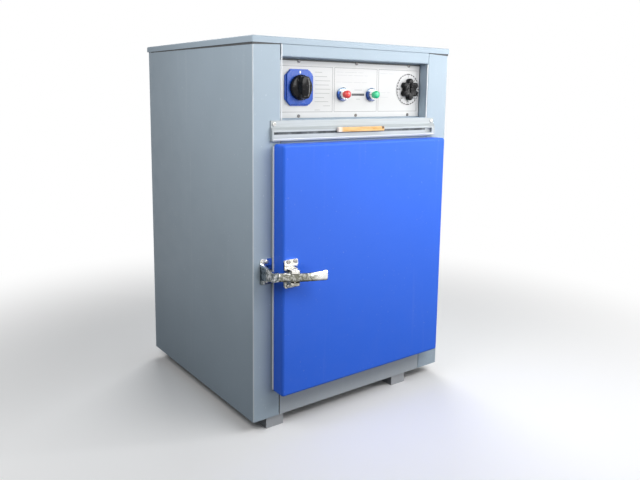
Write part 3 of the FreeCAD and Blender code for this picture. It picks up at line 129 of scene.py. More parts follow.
world = bpy.data.worlds.new("pale_air")
bpy.context.scene.world = world
world.use_nodes = True
air = world.node_tree.nodes
air.clear()
seen = air.new("ShaderNodeLightPath").outputs
any_seen = arithmetic("MAXIMUM", arithmetic("MAXIMUM", seen["Is Camera Ray"], seen["Is Glossy Ray"]),
                      seen["Is Transmission Ray"])
airs = []
for colour, strength in (((0.94, 0.97, 1.0, 1), 0.13), ((1, 1, 1, 1), 1.0)):
    background = air.new("ShaderNodeBackground")
    background.inputs["Color"].default_value = colour
    background.inputs["Strength"].default_value = strength
    airs.append(background.outputs[0])
join(mixed_shader(any_seen, *airs), air.new("ShaderNodeOutputWorld").inputs[0])
bpy.context.scene.view_settings.view_transform = "Standard"


# The floor: a pale matt sheet laid flat under the feet. It keeps the oven's shadow and fades to
# white away from it.
def shader(name):
    """A new material with one surface shader: (material, its nodes, the shader's inputs)."""
    made = bpy.data.materials.new(name)
    made.use_nodes = True
    tree = made.node_tree.nodes
    tree.clear()
    out = tree.new("ShaderNodeOutputMaterial")
    skin = tree.new("ShaderNodeBsdfPrincipled")
    join(skin.outputs[0], out.inputs["Surface"])
    return made, tree, skin.inputs


def object_place(tree):
    """The position that a material reads its patterns from: Object coordinates."""
    return tree.new("ShaderNodeTexCoord").outputs["Object"]


def ramp(value, low, high, to_low=0.0, to_high=1.0):
    """Maps a value smoothly from one span to another; gives its value socket."""
    made = value.id_data.nodes.new("ShaderNodeMapRange")
    made.interpolation_type = "SMOOTHSTEP"
    for label, number in (("From Min", low), ("From Max", high), ("To Min", to_low),
                          ("To Max", to_high)):
        made.inputs[label].default_value = number
    join(value, made.inputs["Value"])
    return made.outputs["Result"]


def tint(factor, first, second):
    """Mixes two colours by a socket; each colour is a socket or three numbers."""
    made = factor.id_data.nodes.new("ShaderNodeMix")
    made.data_type = "RGBA"
    join(factor, made.inputs["Factor"])
    for label, operand in (("A", first), ("B", second)):
        if isinstance(operand, tuple):
            made.inputs[label].default_value = (*operand, 1)
        else:
            join(operand, made.inputs[label])
    return made.outputs["Result"]


def mesh_piece(name, points, faces, material, body, smooth_angle=None):
    """A mesh object in its place that rides on a body. A closed mesh whose volume comes out negative
    is inside out, so its faces are turned round."""
    points = np.asarray(points, float).reshape(-1, 3)
    volume = sum(np.dot(points[f[0]], np.cross(points[f[i]], points[f[i + 1]]))
                 for f in faces for i in range(1, len(f) - 1))
    if volume < 0:
        faces = [tuple(reversed(f)) for f in faces]
    data = bpy.data.meshes.new(name)
    data.from_pydata(points.tolist(), [], faces)
    data.materials.append(material)
    if smooth_angle:
        data.shade_smooth()
        data.set_sharp_from_angle(angle=math.radians(smooth_angle))
    piece = bpy.data.objects.new(name, data)
    bpy.context.scene.collection.objects.link(piece)
    if body:
        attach(piece, body)
    return piece


floor_paint, tree, skin = shader("floor_sheet")
seen = tree.new("ShaderNodeLightPath").outputs
join(tint(seen["Is Camera Ray"], (0.16, 0.165, 0.17), (0.96, 0.96, 0.96)), skin["Base Color"])
skin["Roughness"].default_value = 0.9
skin["Specular IOR Level"].default_value = 0.1
distance = tree.new("ShaderNodeVectorMath")
distance.operation = "LENGTH"
join(object_place(tree), distance.inputs[0])
glow = tree.new("ShaderNodeEmission")
glow.inputs["Strength"].default_value = 1.0
fade_seen = arithmetic("MULTIPLY", ramp(distance.outputs["Value"], 0.45, 1.1),
                       arithmetic("MAXIMUM", seen["Is Camera Ray"], seen["Is Glossy Ray"]))
floor_out = next(node for node in tree if node.type == "OUTPUT_MATERIAL").inputs["Surface"]
matt_sheet = floor_out.links[0].from_socket
join(mixed_shader(fade_seen, matt_sheet, glow.outputs[0]), floor_out)
reach = 9.0
floor_corners = [(-reach, -reach, 0), (reach, -reach, 0), (reach, reach, 0), (-reach, reach, 0)]
floor = mesh_piece("floor", floor_corners, [(0, 1, 2, 3)], floor_paint, None)


# The cabinet: folded mild steel sheet in grey stoving enamel. It is sprayed on and baked, with a
# faint orange peel, a cloudy tone, rubbed streaks and specks of dust. The folds carry rolled edges,
# whose paler paint is a painted highlight.
def finish_group(name, **values):
    """A shader node group for a finish. It takes a position and the named values, a colour as four
    numbers, and puts out a colour, a roughness and a normal: (group, what it takes, what it puts out)."""
    group = bpy.data.node_groups.new(name, "ShaderNodeTree")
    group.interface.new_socket(name="Position", in_out="INPUT", socket_type="NodeSocketVector")
    for label, value in values.items():
        kind = "NodeSocketColor" if isinstance(value, tuple) else "NodeSocketFloat"
        group.interface.new_socket(name=label, in_out="INPUT", socket_type=kind).default_value = value
    for label, kind in (("Color", "NodeSocketColor"), ("Roughness", "NodeSocketFloat"),
                        ("Normal", "NodeSocketVector")):
        group.interface.new_socket(name=label, in_out="OUTPUT", socket_type=kind)
    return group, group.nodes.new("NodeGroupInput").outputs, group.nodes.new("NodeGroupOutput").inputs


def noise(where, scale, detail=2.0, rough=0.5):
    """A noise texture that reads a position; gives its value socket."""
    made = where.id_data.nodes.new("ShaderNodeTexNoise")
    for label, number in (("Scale", scale), ("Detail", detail), ("Roughness", rough)):
        made.inputs[label].default_value = number
    join(where, made.inputs["Vector"])
    return made.outputs["Fac"]


def stretched(where, scale):
    """A position stretched by a Mapping node."""
    made = where.id_data.nodes.new("ShaderNodeMapping")
    made.inputs["Scale"].default_value = scale
    join(where, made.inputs["Vector"])
    return made.outputs["Vector"]


def relief(height, strength, distance):
    """The normal of a bumpy surface, from its height, the bump's strength and its depth in metres."""
    made = height.id_data.nodes.new("ShaderNodeBump")
    made.inputs["Distance"].default_value = distance
    if isinstance(strength, float):
        made.inputs["Strength"].default_value = strength
    else:
        join(strength, made.inputs["Strength"])
    join(height, made.inputs["Height"])
    return made.outputs[0]


def enamel_group():
    """Sprayed enamel: cloudy tone, dust specks, rubbed streaks and orange peel, from Object
    coordinates. Cloud and specks are noise cut by a smooth step; the peel is fine noise as height."""
    group, takes, gives = finish_group("sprayed_enamel", Paint=(0.4, 0.45, 0.5, 1), Cloud=0.10,
                                       Speck=0.5, Peel=0.06, Gloss=0.35)
    where = takes["Position"]
    cloud = arithmetic("MULTIPLY", ramp(noise(where, 5.0, 4.0, 0.55), 0.3, 0.7), takes["Cloud"])
    dark = tint(cloud, takes["Paint"], (0.02, 0.025, 0.03))
    fine_cloud = ramp(noise(where, 38.0, 3.0, 0.6), 0.35, 0.75)
    faint = arithmetic("MULTIPLY", fine_cloud, arithmetic("MULTIPLY", takes["Cloud"], 0.3))
    lifted = tint(faint, dark, (0.95, 0.97, 1.0))
    specks = arithmetic("MULTIPLY", ramp(noise(where, 260.0, 1.0, 0.4), 0.735, 0.80), takes["Speck"])
    specked = tint(specks, lifted, (0.78, 0.82, 0.86))
    streak = ramp(noise(stretched(where, (60.0, 60.0, 3.0)), 1.0, 3.0, 0.6), 0.60, 0.80, 0.0, 0.30)
    streak = arithmetic("MULTIPLY", streak, takes["Speck"])
    join(tint(streak, specked, (0.85, 0.88, 0.9)), gives["Color"])
    rough = arithmetic("ADD", takes["Gloss"], arithmetic("MULTIPLY", fine_cloud, 0.12))
    join(arithmetic("ADD", rough, arithmetic("MULTIPLY", streak, 0.6)), gives["Roughness"])
    peel = arithmetic("MULTIPLY", noise(where, 420.0, 1.5), 0.12)
    wave = arithmetic("MULTIPLY", noise(where, 9.0, 1.0, 0.4), 0.5)
    join(relief(arithmetic("ADD", peel, wave), takes["Peel"], 0.001), gives["Normal"])
    return group


sprayed_enamel = enamel_group()


def dress(skin, group, where, **values):
    """Gives a surface shader the finish of a group, which reads a position and the named values."""
    made = where.id_data.nodes.new("ShaderNodeGroup")
    made.node_tree = group
    join(where, made.inputs["Position"])
    for label, value in values.items():
        made.inputs[label].default_value = value
    for source, target in (("Color", "Base Color"), ("Roughness", "Roughness"), ("Normal", "Normal")):
        join(made.outputs[source], skin[target])


def enamel(name, paint, cloud, speck, peel, gloss, coat):
    """A painted metal material in one colour of the sprayed enamel."""
    made, tree, skin = shader(name)
    dress(skin, sprayed_enamel, object_place(tree), Paint=(*paint, 1), Cloud=cloud, Speck=speck,
          Peel=peel, Gloss=gloss)
    skin["Specular IOR Level"].default_value = 0.22
    skin["Coat Weight"].default_value = coat
    skin["Coat Roughness"].default_value = 0.18
    return made


def finish_in(material, *names):
    """Gives CAD nodes a finish in place of the plain one that they came with."""
    for name in names:
        data = nodes[name].data
        for index in range(max(1, len(data.materials))):
            if index < len(data.materials):
                data.materials[index] = material
            else:
                data.materials.append(material)


cabinet_enamel = enamel("cabinet_enamel", (0.415, 0.505, 0.585), 0.06, 0.30, 0.30, 0.45, 0.0)
finish_in(cabinet_enamel, "left_side_panel", "right_side_panel", "top_rail", "middle_rail",
          "rear_panel", "top_lid")
# Painted light: the bottom rail gets a paler copy of the cabinet enamel, to lift it out of the door's
# shadow.
lit_rail_enamel = enamel("lit_rail_enamel", (0.50, 0.545, 0.585), 0.06, 0.30, 0.30, 0.45, 0.0)
finish_in(lit_rail_enamel, "bottom_rail")
feet_enamel = enamel("feet_enamel", (0.52, 0.54, 0.57), 0.30, 0.6, 0.5, 0.45, 0.05)
finish_in(feet_enamel, "feet")


def shell(rings):
    """Faces of a closed skin over rings of points, with a flat cap on the first and the last ring:
    each quad joins two neighbours on a ring to the same two on the next ring."""
    count, around = rings.shape[:2]
    index = np.arange(count * around).reshape(count, around)
    beside = np.roll(index, -1, axis=1)
    quads = np.stack([index[:-1], beside[:-1], beside[1:], index[1:]], axis=-1).reshape(-1, 4)
    caps = [tuple(reversed(index[0].tolist())), tuple(index[-1].tolist())]
    return [tuple(quad) for quad in quads.tolist()] + caps


def round_bead(start, end, radius, around=16):
    """Rings of a straight round bead: at both ends a circle of the radius stands square to the run."""
    start, end = np.asarray(start, float), np.asarray(end, float)
    run = (end - start) / np.linalg.norm(end - start)
    first = np.cross(run, (0.0, 1.0, 0.0))
    first /= np.linalg.norm(first)
    second = np.cross(run, first)
    angle = np.linspace(0, 2 * np.pi, around, endpoint=False)[:, None]
    circle = radius * (np.cos(angle) * first + np.sin(angle) * second)
    return np.stack([start + circle, end + circle])


# Painted highlights: the rolled front corner and the folded edges of the recess are beads in pale copies of
# the enamel, which stand in for the light caught on the bends.
corner_highlight_enamel = enamel("corner_highlight_enamel", (0.60, 0.66, 0.71), 0.10, 0.6, 0.3, 0.35, 0.1)
fold_highlight_enamel = enamel("fold_highlight_enamel", (0.86, 0.88, 0.90), 0.10, 0.6, 0.3, 0.30, 0.2)
side_low, side_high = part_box("left_side_panel")
top_rail_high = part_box("top_rail")[1]
recess_low, recess_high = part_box("control_panel")
corner_x = side_low.x + 0.0010
corner_y = side_low.y + 0.0010
bead = round_bead((corner_x, corner_y, side_low.z + 0.001), (corner_x, corner_y, side_high.z - 0.012),
                  0.0012)
corner_highlight_bead = mesh_piece("corner_highlight_bead", bead, shell(bead), corner_highlight_enamel, "cabinet", 50)
fold_y = side_low.y + 0.0006
for name, x, top in (("left_fold_highlight", recess_low.x + 0.0004, top_rail_high.z - 0.003),
                     ("right_fold_highlight", recess_high.x - 0.0002, recess_high.z)):
    bead = round_bead((x, fold_y, recess_low.z - 0.002), (x, fold_y, top), 0.0011)
    fold_highlight_bead = mesh_piece(name, bead, shell(bead), fold_highlight_enamel, "cabinet", 50)


# The door: a folded steel pan in bright blue enamel, glossier than the cabinet, with small pale
# specks of dust under the coat.
door_enamel = enamel("door_enamel", (0.037, 0.158, 0.84), 0.02, 0.08, 0.25, 0.40, 0.0)
finish_in(door_enamel, "door_outer_pan")


# Plain zinc-coated sheet for what is out of sight, and bare stainless for the chamber, its trim and
# the inside of the door, ground with a fine grain along the sheet.
def grain_group():
    """Ground metal: long fine noise streaks for tone, roughness and height along a chosen direction."""
    group, takes, gives = finish_group("ground_grain", Metal=(0.6, 0.6, 0.6, 1), Gloss=0.3, Depth=0.1)
    where = takes["Position"]
    streak = noise(where, 1.0, 3.0, 0.65)
    tone = ramp(streak, 0.3, 0.7, 0.0, 0.16)
    join(tint(tone, takes["Metal"], (0.08, 0.08, 0.08)), gives["Color"])
    smear = arithmetic("MULTIPLY", ramp(noise(where, 0.02, 3.0, 0.6), 0.35, 0.7), 0.10)
    rough = arithmetic("ADD", takes["Gloss"], arithmetic("MULTIPLY", streak, 0.16))
    join(arithmetic("ADD", rough, smear), gives["Roughness"])
    join(relief(streak, takes["Depth"], 0.0003), gives["Normal"])
    return group


ground_grain = grain_group()


def bare_metal(name, metal, gloss, depth, along, metallic=1.0):
    """Bare metal with its grain along x, y or z: the position is squeezed across the grain."""
    made, tree, skin = shader(name)
    squeeze = [900.0, 900.0, 900.0]
    squeeze["xyz".index(along)] = 9.0
    dress(skin, ground_grain, stretched(object_place(tree), squeeze), Metal=(*metal, 1), Gloss=gloss,
          Depth=depth)
    skin["Metallic"].default_value = metallic
    return made


stainless_sheet = bare_metal("stainless_sheet", (0.62, 0.61, 0.59), 0.28, 0.25, "y")
finish_in(stainless_sheet, "chamber_side_walls", "chamber_ceiling", "chamber_floor", "heater_cover",
          "shelf_runners", "probe_clips")
stainless_upright = bare_metal("stainless_upright", (0.62, 0.61, 0.59), 0.28, 0.25, "z")
finish_in(stainless_upright, "chamber_rear_wall", "chamber_mouth_trim", "door_inner_panel",
          "hinge_post_leaves", "hinge_door_leaves", "hinge_pins")
zinc_sheet = bare_metal("zinc_sheet", (0.56, 0.58, 0.60), 0.38, 0.2, "x", 0.9)
finish_in(zinc_sheet, "base_pan", "wiring_floor", "thermostat_body")
heater_sheath = bare_metal("heater_sheath", (0.22, 0.20, 0.19), 0.45, 0.5, "y", 0.8)
finish_in(heater_sheath, "heater_elements")
probe_copper = bare_metal("probe_copper", (0.72, 0.40, 0.24), 0.30, 0.2, "y")
finish_in(probe_copper, "thermostat_probe")


# The wire shelves are chromed and the screws zinc plated or blackened steel, with small dulled
# patches and pits where hands have been. The latch is plated in the same way.
def one_axis(where, axis):
    """The x, y or z of a position."""
    apart = where.id_data.nodes.new("ShaderNodeSeparateXYZ")
    join(where, apart.inputs[0])
    return apart.outputs[axis.upper()]


def chrome(name, metal, gloss, tarnish, painted_reflection=0.0, reflection_tone=None, fade=None):
    """Bright plating: a mirror-like metal with soft dull patches and fine pits. A painted reflection adds
    blotches of a dark tone, standing in for dark surroundings mirrored in the plating, which the fade
    (axis, from, to) takes away along an axis of the part, in metres."""
    made, tree, skin = shader(name)
    where = object_place(tree)
    dull = ramp(noise(where, 90.0, 4.0, 0.6), 0.45, 0.75)
    colour = tint(arithmetic("MULTIPLY", dull, tarnish), metal, (0.34, 0.31, 0.26))
    if painted_reflection:
        axis, start, end = fade
        reflection_blotch = ramp(noise(where, 210.0, 3.0, 0.65), 0.36, 0.60, 0.45, 1.0)
        reflection_blotch = arithmetic("MULTIPLY", arithmetic("MULTIPLY", reflection_blotch, painted_reflection),
                            ramp(one_axis(where, axis), start, end, 1.0, 0.0))
        colour = tint(reflection_blotch, colour, reflection_tone)
    join(colour, skin["Base Color"])
    join(arithmetic("ADD", gloss, arithmetic("MULTIPLY", dull, 0.16)), skin["Roughness"])
    pits = arithmetic("MULTIPLY", ramp(noise(where, 700.0, 1.0), 0.68, 0.8), 0.4)
    join(relief(arithmetic("SUBTRACT", noise(where, 160.0, 1.0), pits), 0.08, 0.0004), skin["Normal"])
    skin["Metallic"].default_value = 1.0
    return made


bright_chrome = chrome("bright_chrome", (0.80, 0.80, 0.79), 0.07, 0.5)
finish_in(bright_chrome, "lower_shelf", "upper_shelf")
screw_zinc = chrome("screw_zinc", (0.66, 0.66, 0.64), 0.18, 0.8)
finish_in(screw_zinc, "rear_screws", "door_panel_screws", "front_frame_screws")
screw_dark = chrome("screw_dark", (0.13, 0.13, 0.14), 0.30, 0.5)
finish_in(screw_dark, "panel_screws")
screw_dull = chrome("screw_dull", (0.34, 0.33, 0.33), 0.25, 0.8)
finish_in(screw_dull, "door_fixing_screws")


# Glass wool fills the walls and the door: matted yellow fibre, cut in slabs and packed in dry. It is
# sealed in and never seen in use.
glass_wool, tree, skin = shader("glass_wool")
where = object_place(tree)
strand = noise(stretched(where, (120.0, 120.0, 900.0)), 1.0, 5.0, 0.7)
tuft = noise(where, 45.0, 4.0, 0.6)
join(tint(strand, (0.78, 0.62, 0.22), (0.95, 0.88, 0.62)), skin["Base Color"])
skin["Roughness"].default_value = 0.95
join(relief(arithmetic("ADD", strand, tuft), 0.8, 0.004), skin["Normal"])
finish_in(glass_wool, "side_insulation", "floor_insulation", "rear_insulation", "top_insulation",
          "door_insulation")


# The control panel: white enamelled steel, screen printed with thin ruled boxes and rows of plain
# bars. A dark strip along its upper edge is painted shade, under the top rail.
panel_enamel = enamel("panel_enamel", (0.665, 0.665, 0.66), 0.03, 0.0, 0.15, 0.30, 0.0)
finish_in(panel_enamel, "control_panel")


def print_ink(name, colour):
    """Screen printing ink: a flat dense colour, a little uneven where the mesh has left it thin."""
    made, tree, skin = shader(name)
    thin = ramp(noise(object_place(tree), 1500.0, 2.0, 0.6), 0.45, 0.8, 0.0, 0.35)
    pale = tuple(min(1.0, value * 0.5 + 0.3) for value in colour)
    join(tint(thin, colour, pale), skin["Base Color"])
    skin["Roughness"].default_value = 0.5
    return made


def ribbons(starts, stops, width, height, front=0.0):
    """Straight flat bars, as (points, faces). Each runs from a start to a stop, both (x, z), with half
    the width on each side across its run. It lies on the plane y = front, and stands out from that by
    the height, towards the front, or towards the rear where the height is negative."""
    starts, stops = np.reshape(starts, (-1, 2)), np.reshape(stops, (-1, 2))
    run = (stops - starts) / np.linalg.norm(stops - starts, axis=1, keepdims=True)
    side = np.stack([-run[:, 1], run[:, 0]], axis=-1) * width / 2
    outline = np.stack([starts - side, stops - side, stops + side, starts + side], axis=1)
    x, z = np.stack([outline, outline], axis=1).transpose(3, 0, 1, 2)
    y = np.broadcast_to(np.array([front, front - height])[:, None], x.shape)
    sides = [(0, 1, 2, 3), (7, 6, 5, 4), (0, 4, 5, 1), (1, 5, 6, 2), (2, 6, 7, 3), (3, 7, 4, 0)]
    faces = [tuple(8 * bar + i for i in face) for bar in range(len(starts)) for face in sides]
    return np.stack([x, y, z], axis=-1).reshape(-1, 3), faces


panel_low, panel_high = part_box("control_panel")
ink_height = 0.00012
rule_width = 0.0006
rule_ink = print_ink("rule_ink", (0.22, 0.22, 0.23))
box_low = panel_low.z + 0.0095
box_high = panel_high.z - 0.0110
starts, stops = [], []
for left, right in ((panel_low.x + 0.006, panel_low.x + 0.1155),
                    (panel_low.x + 0.1195, panel_low.x + 0.2135),
                    (panel_low.x + 0.2175, panel_high.x - 0.006)):
    starts += [(left, box_low), (left, box_high), (left, box_low), (right, box_low)]
    stops += [(right, box_low), (right, box_high), (left, box_high), (right, box_high)]
bars = ribbons(starts, stops, rule_width, ink_height, panel_low.y)
panel_rules = mesh_piece("panel_rules", *bars, rule_ink, "cabinet")

# Painted shade: a dark strip on the panel's upper edge, where the top rail shades it.
shade_line_ink = print_ink("shade_line_ink", (0.035, 0.04, 0.045))
shade_strip_z = panel_high.z - 0.0012
bars = ribbons((panel_low.x, shade_strip_z), (panel_high.x, shade_strip_z), 0.0024, 0.0008, panel_low.y)
recess_shade_strip = mesh_piece("recess_shade_strip", *bars, shade_line_ink, "cabinet")

# Short bars in the two right hand boxes. A row is its left end, its drop below the boxes' top edge,
# and each bar's share of a full row.
pale_ink = print_ink("pale_ink", (0.50, 0.51, 0.52))
full_row = 0.075
bar_gap = 0.003
starts, stops = [], []
for left, drop, shares in ((0.1235, 0.0070, (0.20, 0.35, 0.15)), (0.1235, 0.0120, (0.30, 0.12, 0.28, 0.10)),
                           (0.1235, 0.0235, (0.12, 0.30, 0.20, 0.16)), (0.2215, 0.0070, (0.22, 0.16)),
                           (0.2215, 0.0400, (0.18, 0.10)), (0.2215, 0.0480, (0.26,))):
    x = panel_low.x + left
    for share in shares:
        starts.append((x, box_high - drop))
        stops.append((x + full_row * share, box_high - drop))
        x += full_row * share + bar_gap
bars = ribbons(starts, stops, rule_width, ink_height, panel_low.y)
panel_words = mesh_piece("panel_word_bars", *bars, pale_ink, "cabinet")

# A column of bars beside the switch, each from a share to a share of its width, and two bars above
# and below the broad one between the lamps.
faint_ink = print_ink("faint_ink", (0.40, 0.41, 0.40))
column_left = panel_low.x + 0.0790
column_width = 0.032
row_step = 0.0068
starts, stops = [], []
for row, (first, last) in enumerate(((0.0, 0.46), (0.0, 0.78), (0.02, 0.98), (0.0, 0.90), (0.03, 1.0),
                                     (0.0, 0.95), (0.0, 0.60), (0.0, 0.88), (0.55, 1.0), (0.0, 0.34))):
    z = box_high - 0.0085 - row_step * row
    starts.append((column_left + column_width * first, z))
    stops.append((column_left + column_width * last, z))
lamp_low, lamp_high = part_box("lamp_housings")
between_x = (lamp_low.x + lamp_high.x) / 2 + 0.0035
between_z = (lamp_low.z + lamp_high.z) / 2
for half, rise in ((0.0085, 0.0075), (0.0045, -0.0080)):
    starts.append((between_x - half, between_z + rise))
    stops.append((between_x + half, between_z + rise))
bars = ribbons(starts, stops, 0.0009, ink_height, panel_low.y)
panel_rows = mesh_piece("panel_rows", *bars, faint_ink, "cabinet")

bar_z = between_z - 0.0004
bars = ribbons((between_x - 0.0145, bar_z), (between_x + 0.0135, bar_z), 0.0038, ink_height, panel_low.y)
bar_ink = print_ink("bar_ink", (0.05, 0.05, 0.055))
lamp_bar = mesh_piece("lamp_bar", *bars, bar_ink, "cabinet")


# The lid's joint: a painted shadow under the lid's skirt, a dark line thick at the two front
# corners and thinner along the posts and the sides.
def joined(*shapes):
    """Several shapes, each (points, faces), as one."""
    points, faces = np.zeros((0, 3)), []
    for more_points, more_faces in shapes:
        faces += [tuple(i + len(points) for i in face) for face in more_faces]
        points = np.concatenate([points, np.reshape(more_points, (-1, 3))])
    return points, faces


# The painted shadow runs from each front corner along the post and back along the side.
lid_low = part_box("top_lid")[0]
shade_width = 0.0034
shade_thinning = 0.0020
shade_height = 0.0004
corner_gap = 0.0003
side_run = 0.38
shade_z = -shade_width / 2
runs = []
for name, out in (("left_side_panel", -1), ("right_side_panel", 1)):
    low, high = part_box(name)
    corner_x = low.x if out < 0 else high.x
    for turn, way, length in ((0, -out, high.x - low.x - 0.001), (out, out, side_run)):
        near, far = sorted((way * corner_gap, way * length))
        run, faces = ribbons((near, shade_z), (far, shade_z), shade_width, shade_height)
        run[:, 2] += np.where(run[:, 2] < shade_z, shade_thinning * abs(run[:, 0]) / length, 0)
        if turn:
            run[:, :2] = np.stack([-turn * run[:, 1], turn * run[:, 0]], axis=-1)
        runs.append((run + (corner_x, low.y, lid_low.z), faces))
lid_shade_line = mesh_piece("lid_shade_line", *joined(*runs), shade_line_ink, "cabinet")


# The selector switch: a blue moulded escutcheon, and a black knob with a fluted skirt and a thick
# upright grip, pressed on the switch's shaft.
def moulding(name, colour, gloss, scuff, sheen=0.5):
    """Moulded plastic: even colour with fine rubbed marks and a slight flow texture."""
    made, tree, skin = shader(name)
    where = object_place(tree)
    rub = ramp(noise(where, 130.0, 4.0, 0.65), 0.5, 0.8)
    worn = tuple(value * 0.6 + 0.12 for value in colour)
    join(tint(arithmetic("MULTIPLY", rub, scuff), colour, worn), skin["Base Color"])
    join(arithmetic("ADD", gloss, arithmetic("MULTIPLY", rub, 0.15)), skin["Roughness"])
    join(relief(noise(where, 600.0), 0.1, 0.0003), skin["Normal"])
    skin["Specular IOR Level"].default_value = sheen
    return made


def fine_flutes(angle):
    """Twenty-eight shallow flutes: a cosine of 2.2 percent."""
    return 0.022 * np.cos(28 * angle)


def knob_skin(centre, base_y, levels, outline, around=288):
    """Rings of a knob that stands out of the panel towards the front.

    Each level is (height, half width, half height, squareness, outline share). It is a superellipse:
    the power 2/squareness of the cosine times the half width, and the same of the sine times the
    half height. Both are scaled by one plus the share times the outline function of the angle.
    """
    angle = np.linspace(0, 2 * np.pi, around, endpoint=False)
    height, wide, tall, square, share = (column[:, None] for column in np.transpose(levels))
    ripple = 1 + share * outline(angle)
    cosine, sine = np.cos(angle), np.sin(angle)
    x = wide * np.sign(cosine) * np.abs(cosine) ** (2 / square) * ripple
    z = tall * np.sign(sine) * np.abs(sine) ** (2 / square) * ripple
    y = np.broadcast_to(base_y - height, x.shape)
    return np.stack([centre[0] + x, y, centre[1] + z], axis=-1)


escutcheon_blue = moulding("escutcheon_blue", (0.020, 0.095, 0.50), 0.24, 0.15)
finish_in(escutcheon_blue, "switch_escutcheon")
knob_black = moulding("knob_black", (0.005, 0.005, 0.006), 0.10, 0.08, 0.22)
mark_ink = print_ink("mark_ink", (0.88, 0.88, 0.86))
dark_moulding = moulding("dark_moulding", (0.03, 0.03, 0.032), 0.45, 0.3)
finish_in(dark_moulding, "switch_body", "cable_gland")

knob_low, knob_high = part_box("switch_knob")
radius = (knob_high.x - knob_low.x) / 2
depth = knob_high.y - knob_low.y
switch_centre = ((knob_low.x + knob_high.x) / 2, (knob_low.z + knob_high.z) / 2)
# Each row: shares of the knob's depth, radius across and radius upwards, the squareness, and the share
# of the flutes.
knob_shares = [(0.0, 0.96, 0.96, 2.0, 0.0), (0.03, 1.0, 1.0, 2.0, 0.6), (0.06, 1.0, 1.0, 2.0, 1.0),
               (0.30, 0.985, 0.985, 2.0, 1.0), (0.345, 0.955, 0.965, 2.0, 0.5),
               (0.365, 0.90, 0.94, 2.0, 0.0), (0.40, 0.68, 0.91, 2.2, 0.0), (0.46, 0.54, 0.90, 2.5, 0.0),
               (0.60, 0.47, 0.89, 2.8, 0.0), (0.88, 0.43, 0.88, 3.0, 0.0), (0.93, 0.41, 0.86, 3.0, 0.0),
               (0.965, 0.30, 0.80, 2.8, 0.0), (0.995, 0.18, 0.72, 2.6, 0.0), (1.0, 0.13, 0.68, 2.6, 0.0)]
levels = np.array(knob_shares) * (depth, radius, radius, 1, 1)
rings = knob_skin(switch_centre, knob_high.y, levels, fine_flutes)
switch_grip = mesh_piece("switch_grip", rings, shell(rings), knob_black, "switch_knob", 40)
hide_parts("switch_knob")

line_x, line_z = switch_centre
line_height = 0.0002
bars = ribbons((line_x, line_z + radius * 0.20), (line_x, line_z + radius * 0.64), 0.0018, line_height,
               knob_low.y + line_height)
switch_line = mesh_piece("switch_line", *bars, mark_ink, "switch_knob")

plate_low, plate_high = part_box("switch_escutcheon")
bars = ribbons((line_x, plate_high.z - 0.0068), (line_x, plate_high.z - 0.0030), 0.0026, ink_height,
               plate_low.y)
index_mark = mesh_piece("switch_index", *bars, mark_ink, "cabinet")


# The thermostat: a white dial plate printed with a ring of graduations and plain numbers, and a
# black knob with six finger lobes and a ribbed pointer on its face.
dial_white = enamel("dial_white", (0.63, 0.63, 0.63), 0.03, 0.0, 0.1, 0.3, 0.0)
finish_in(dial_white, "thermostat_dial")
dial_ink = print_ink("dial_ink", (0.015, 0.015, 0.018))
dial_low, dial_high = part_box("thermostat_dial")
dial_centre = np.array([(dial_low.x + dial_high.x) / 2, (dial_low.z + dial_high.z) / 2])
dial_radius = (dial_high.x - dial_low.x) / 2


def outwards(turn):
    """The unit step (x, z) away from the dial's centre at a turn from its top, clockwise."""
    return np.stack([np.sin(turn), np.cos(turn)], axis=-1)


turns = np.radians(np.arange(0, 271, 45))
spokes = outwards(turns) * dial_radius
ticks = ribbons(dial_centre + spokes * 0.885, dial_centre + spokes * 0.975, 0.0012, ink_height, dial_low.y)
dash_turns = np.radians(np.arange(0, 360, 12) + 6)
dash_places = dial_centre + outwards(dash_turns) * dial_radius * 0.945
dash_runs = outwards(dash_turns + np.pi / 2) * dial_radius * 0.068
dashes = ribbons(dash_places - dash_runs, dash_places + dash_runs, 0.0017, ink_height, dial_low.y)
dial_scale = mesh_piece("dial_scale", *joined(ticks, dashes), dial_ink, "cabinet")

numerals = []
for turn, number in zip(turns, range(0, 301, 50)):
    figure = bpy.data.curves.new("numeral", "FONT")
    figure.body = str(number)
    figure.size = 0.0042
    figure.align_x = "CENTER"
    figure.align_y = "CENTER"
    figure.extrude = ink_height / 2
    carrier = bpy.data.objects.new("numeral", figure)
    bpy.context.scene.collection.objects.link(carrier)
    bpy.context.view_layer.update()
    shape = bpy.data.meshes.new_from_object(carrier.evaluated_get(bpy.context.evaluated_depsgraph_get()))
    spot = dial_centre + outwards(turn) * dial_radius * 0.79
    shape.transform(Matrix.Translation((spot[0], dial_low.y - ink_height / 2, spot[1]))
                    @ Matrix.Rotation(math.radians(90), 4, "X"))
    bpy.data.objects.remove(carrier)
    points = np.empty(len(shape.vertices) * 3)
    shape.vertices.foreach_get("co", points)
    numerals.append((points, [tuple(face.vertices) for face in shape.polygons]))
dial_numbers = mesh_piece("dial_numbers", *joined(*numerals), dial_ink, "cabinet")

knob_low, knob_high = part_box("thermostat_knob")
radius = (knob_high.z - knob_low.z) / 2
depth = knob_high.y - knob_low.y
knob_x = (knob_low.x + knob_high.x) / 2
knob_z = (knob_low.z + knob_high.z) / 2


def round_lobes(angle):
    """Six round lobes, the first at 30 degrees: off each lobe's axis by a, the radius is 0.72 cos a
    plus the root of 0.28 squared less 0.72 sin a squared, and between the lobes 0.72; less one, for
    the ripple."""
    off = angle % (np.pi / 3) - np.pi / 6
    under = 0.28 ** 2 - (0.72 * np.sin(off)) ** 2
    lobe = 0.72 * np.cos(off) + np.sqrt(np.maximum(under, 0))
    return np.maximum(np.where(under > 0, lobe, 0), 0.72) - 1


